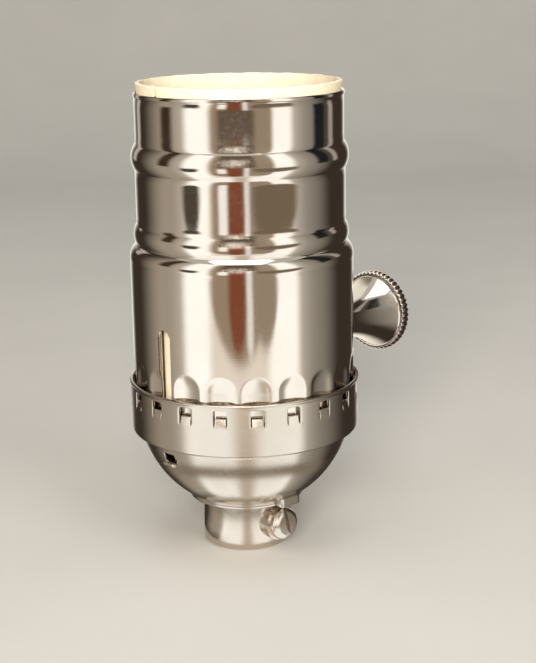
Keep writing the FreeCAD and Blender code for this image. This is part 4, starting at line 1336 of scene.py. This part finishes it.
@dataclass
class Studio:
    """Pale floor, soft lamps, the glowing screen of painted reflections that polished metal mirrors, and the
    camera.

    Attributes:
        floor_reach: how far the floor comes forward of the holder, in metres, as all lengths here.
        floor_half: half the floor's width.
        sweep_start: where the floor starts to rise behind the holder.
        sweep_r: radius of its rise.
        wall_top: height of the wall that it becomes.
        sky: colour of the room.
        sky_strength: how strongly the room lights.
        eye: the camera's place.
        yaw: the camera's direction, from +Y towards +X.
        pitch: how far it looks down.
        roll: how far it leans.
        lens: its focal length, in millimetres.
        target: what the lamps face.
        screen: the screen.
        lamps: the lamps.
    """

    floor_reach: float = 1.5
    floor_half: float = 2.0
    sweep_start: float = 0.4
    sweep_r: float = 0.4
    wall_top: float = 1.6
    sky: str = "#d6d3cd"
    sky_strength: float = 0.42
    eye: Triple = (-0.16249, -0.15420, 0.09153)
    yaw: float = 0.0176 + math.radians(46.5)
    pitch: float = 0.2482
    roll: float = -0.0156
    lens: float = 78.2
    target: Triple = (0.0, 0.0, 0.037)
    screen: Screen = field(default_factory=Screen)
    lamps: tuple[Softbox, ...] = (
        Softbox("key_right", 262.0, 0.75, 0.50, 0.35, 0.6, 2.0),
        Softbox("front", 217.0, 0.6, 0.24, 0.25, 0.3, 5.0, "#fff8f0"),
        Softbox("overhead", 220.0, 0.15, 0.9, 0.6, 0.6, 2.6),
    )

    def floor(self, dresser: Dresser) -> None:
        """Floor that sweeps up into a wall behind the holder: a line and an arc, drawn out sideways.

        Args:
            dresser: what puts the pieces in.
        """
        t = np.linspace(0.0, math.pi / 2.0, 33)
        along = np.concatenate([[-self.floor_reach, 0.0], self.sweep_start + self.sweep_r * np.sin(t),
                                [self.sweep_start + self.sweep_r]])
        rise = np.concatenate([[0.0, 0.0], self.sweep_r * (1.0 - np.cos(t)), [self.wall_top]])
        sides = np.array([-self.floor_half, self.floor_half])
        across, ahead = math.cos(self.yaw), math.sin(self.yaw)
        x = along[:, None] * ahead + sides * across
        y = along[:, None] * across - sides * ahead
        points = np.stack(np.broadcast_arrays(x, y, rise[:, None]), axis=-1) / MM
        thing = mesh_piece("floor", points, quads(along.size, 2)[..., ::-1])
        thing.data.materials.append(dresser.palette.get(FLOOR))

    def world(self) -> None:
        """An even pale sky: full where it is looked at or mirrored, and lower where it lights."""
        world = bpy.data.worlds.new("pale_room")
        bpy.context.scene.world = world
        g = Graph(world)
        rays = g.add("LightPath").outputs
        seen = g.add("Math", operation="MAXIMUM", _0=rays["Is Camera Ray"], _1=rays["Is Glossy Ray"])
        both = g.add("Math", operation="MAXIMUM", _0=seen, _1=rays["Is Transmission Ray"])
        strength = g.add("MapRange", Value=both, To_Min=self.sky_strength, To_Max=1.0)
        g.add("OutputWorld", Surface=g.add("Background", Color=linear(self.sky), Strength=strength))

    def camera(self) -> None:
        """A long lens a little above the holder, looking down at it from the side away from the knob."""
        level = math.cos(self.pitch)
        ahead = Vector((math.sin(self.yaw) * level, math.cos(self.yaw) * level, -math.sin(self.pitch)))
        right = Vector((math.cos(self.yaw), -math.sin(self.yaw), 0.0))
        up = right.cross(ahead)
        right_r = right * math.cos(self.roll) + up * math.sin(self.roll)
        up_r = up * math.cos(self.roll) - right * math.sin(self.roll)
        data = bpy.data.cameras.new("camera")
        data.lens = self.lens
        data.sensor_width = 36.0
        data.clip_start = 0.01
        camera = bpy.data.objects.new("camera", data)
        basis = Matrix((right_r, up_r, -ahead)).transposed().to_4x4()
        camera.matrix_world = Matrix.Translation(self.eye) @ basis
        bpy.context.scene.collection.objects.link(camera)
        bpy.context.scene.camera = camera

    def build(self, dresser: Dresser) -> None:
        """Sets up the whole studio.

        Args:
            dresser: what puts the pieces in.
        """
        self.floor(dresser)
        for lamp in self.lamps:
            lamp.build(Vector(self.target))
        self.screen.build(dresser)
        self.world()
        self.camera()
        bpy.context.scene.view_settings.view_transform = "Standard"


def main() -> None:
    """Builds every sub-assembly and the studio."""
    logging.basicConfig(level=logging.INFO, format="%(message)s")
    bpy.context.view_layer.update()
    dresser = Dresser(frame["nodes"], Palette())
    for part in (Shell(), Cap(), Knob(), Inside(), Studio()):
        part.build(dresser)


if __name__ == "__main__":
    main()
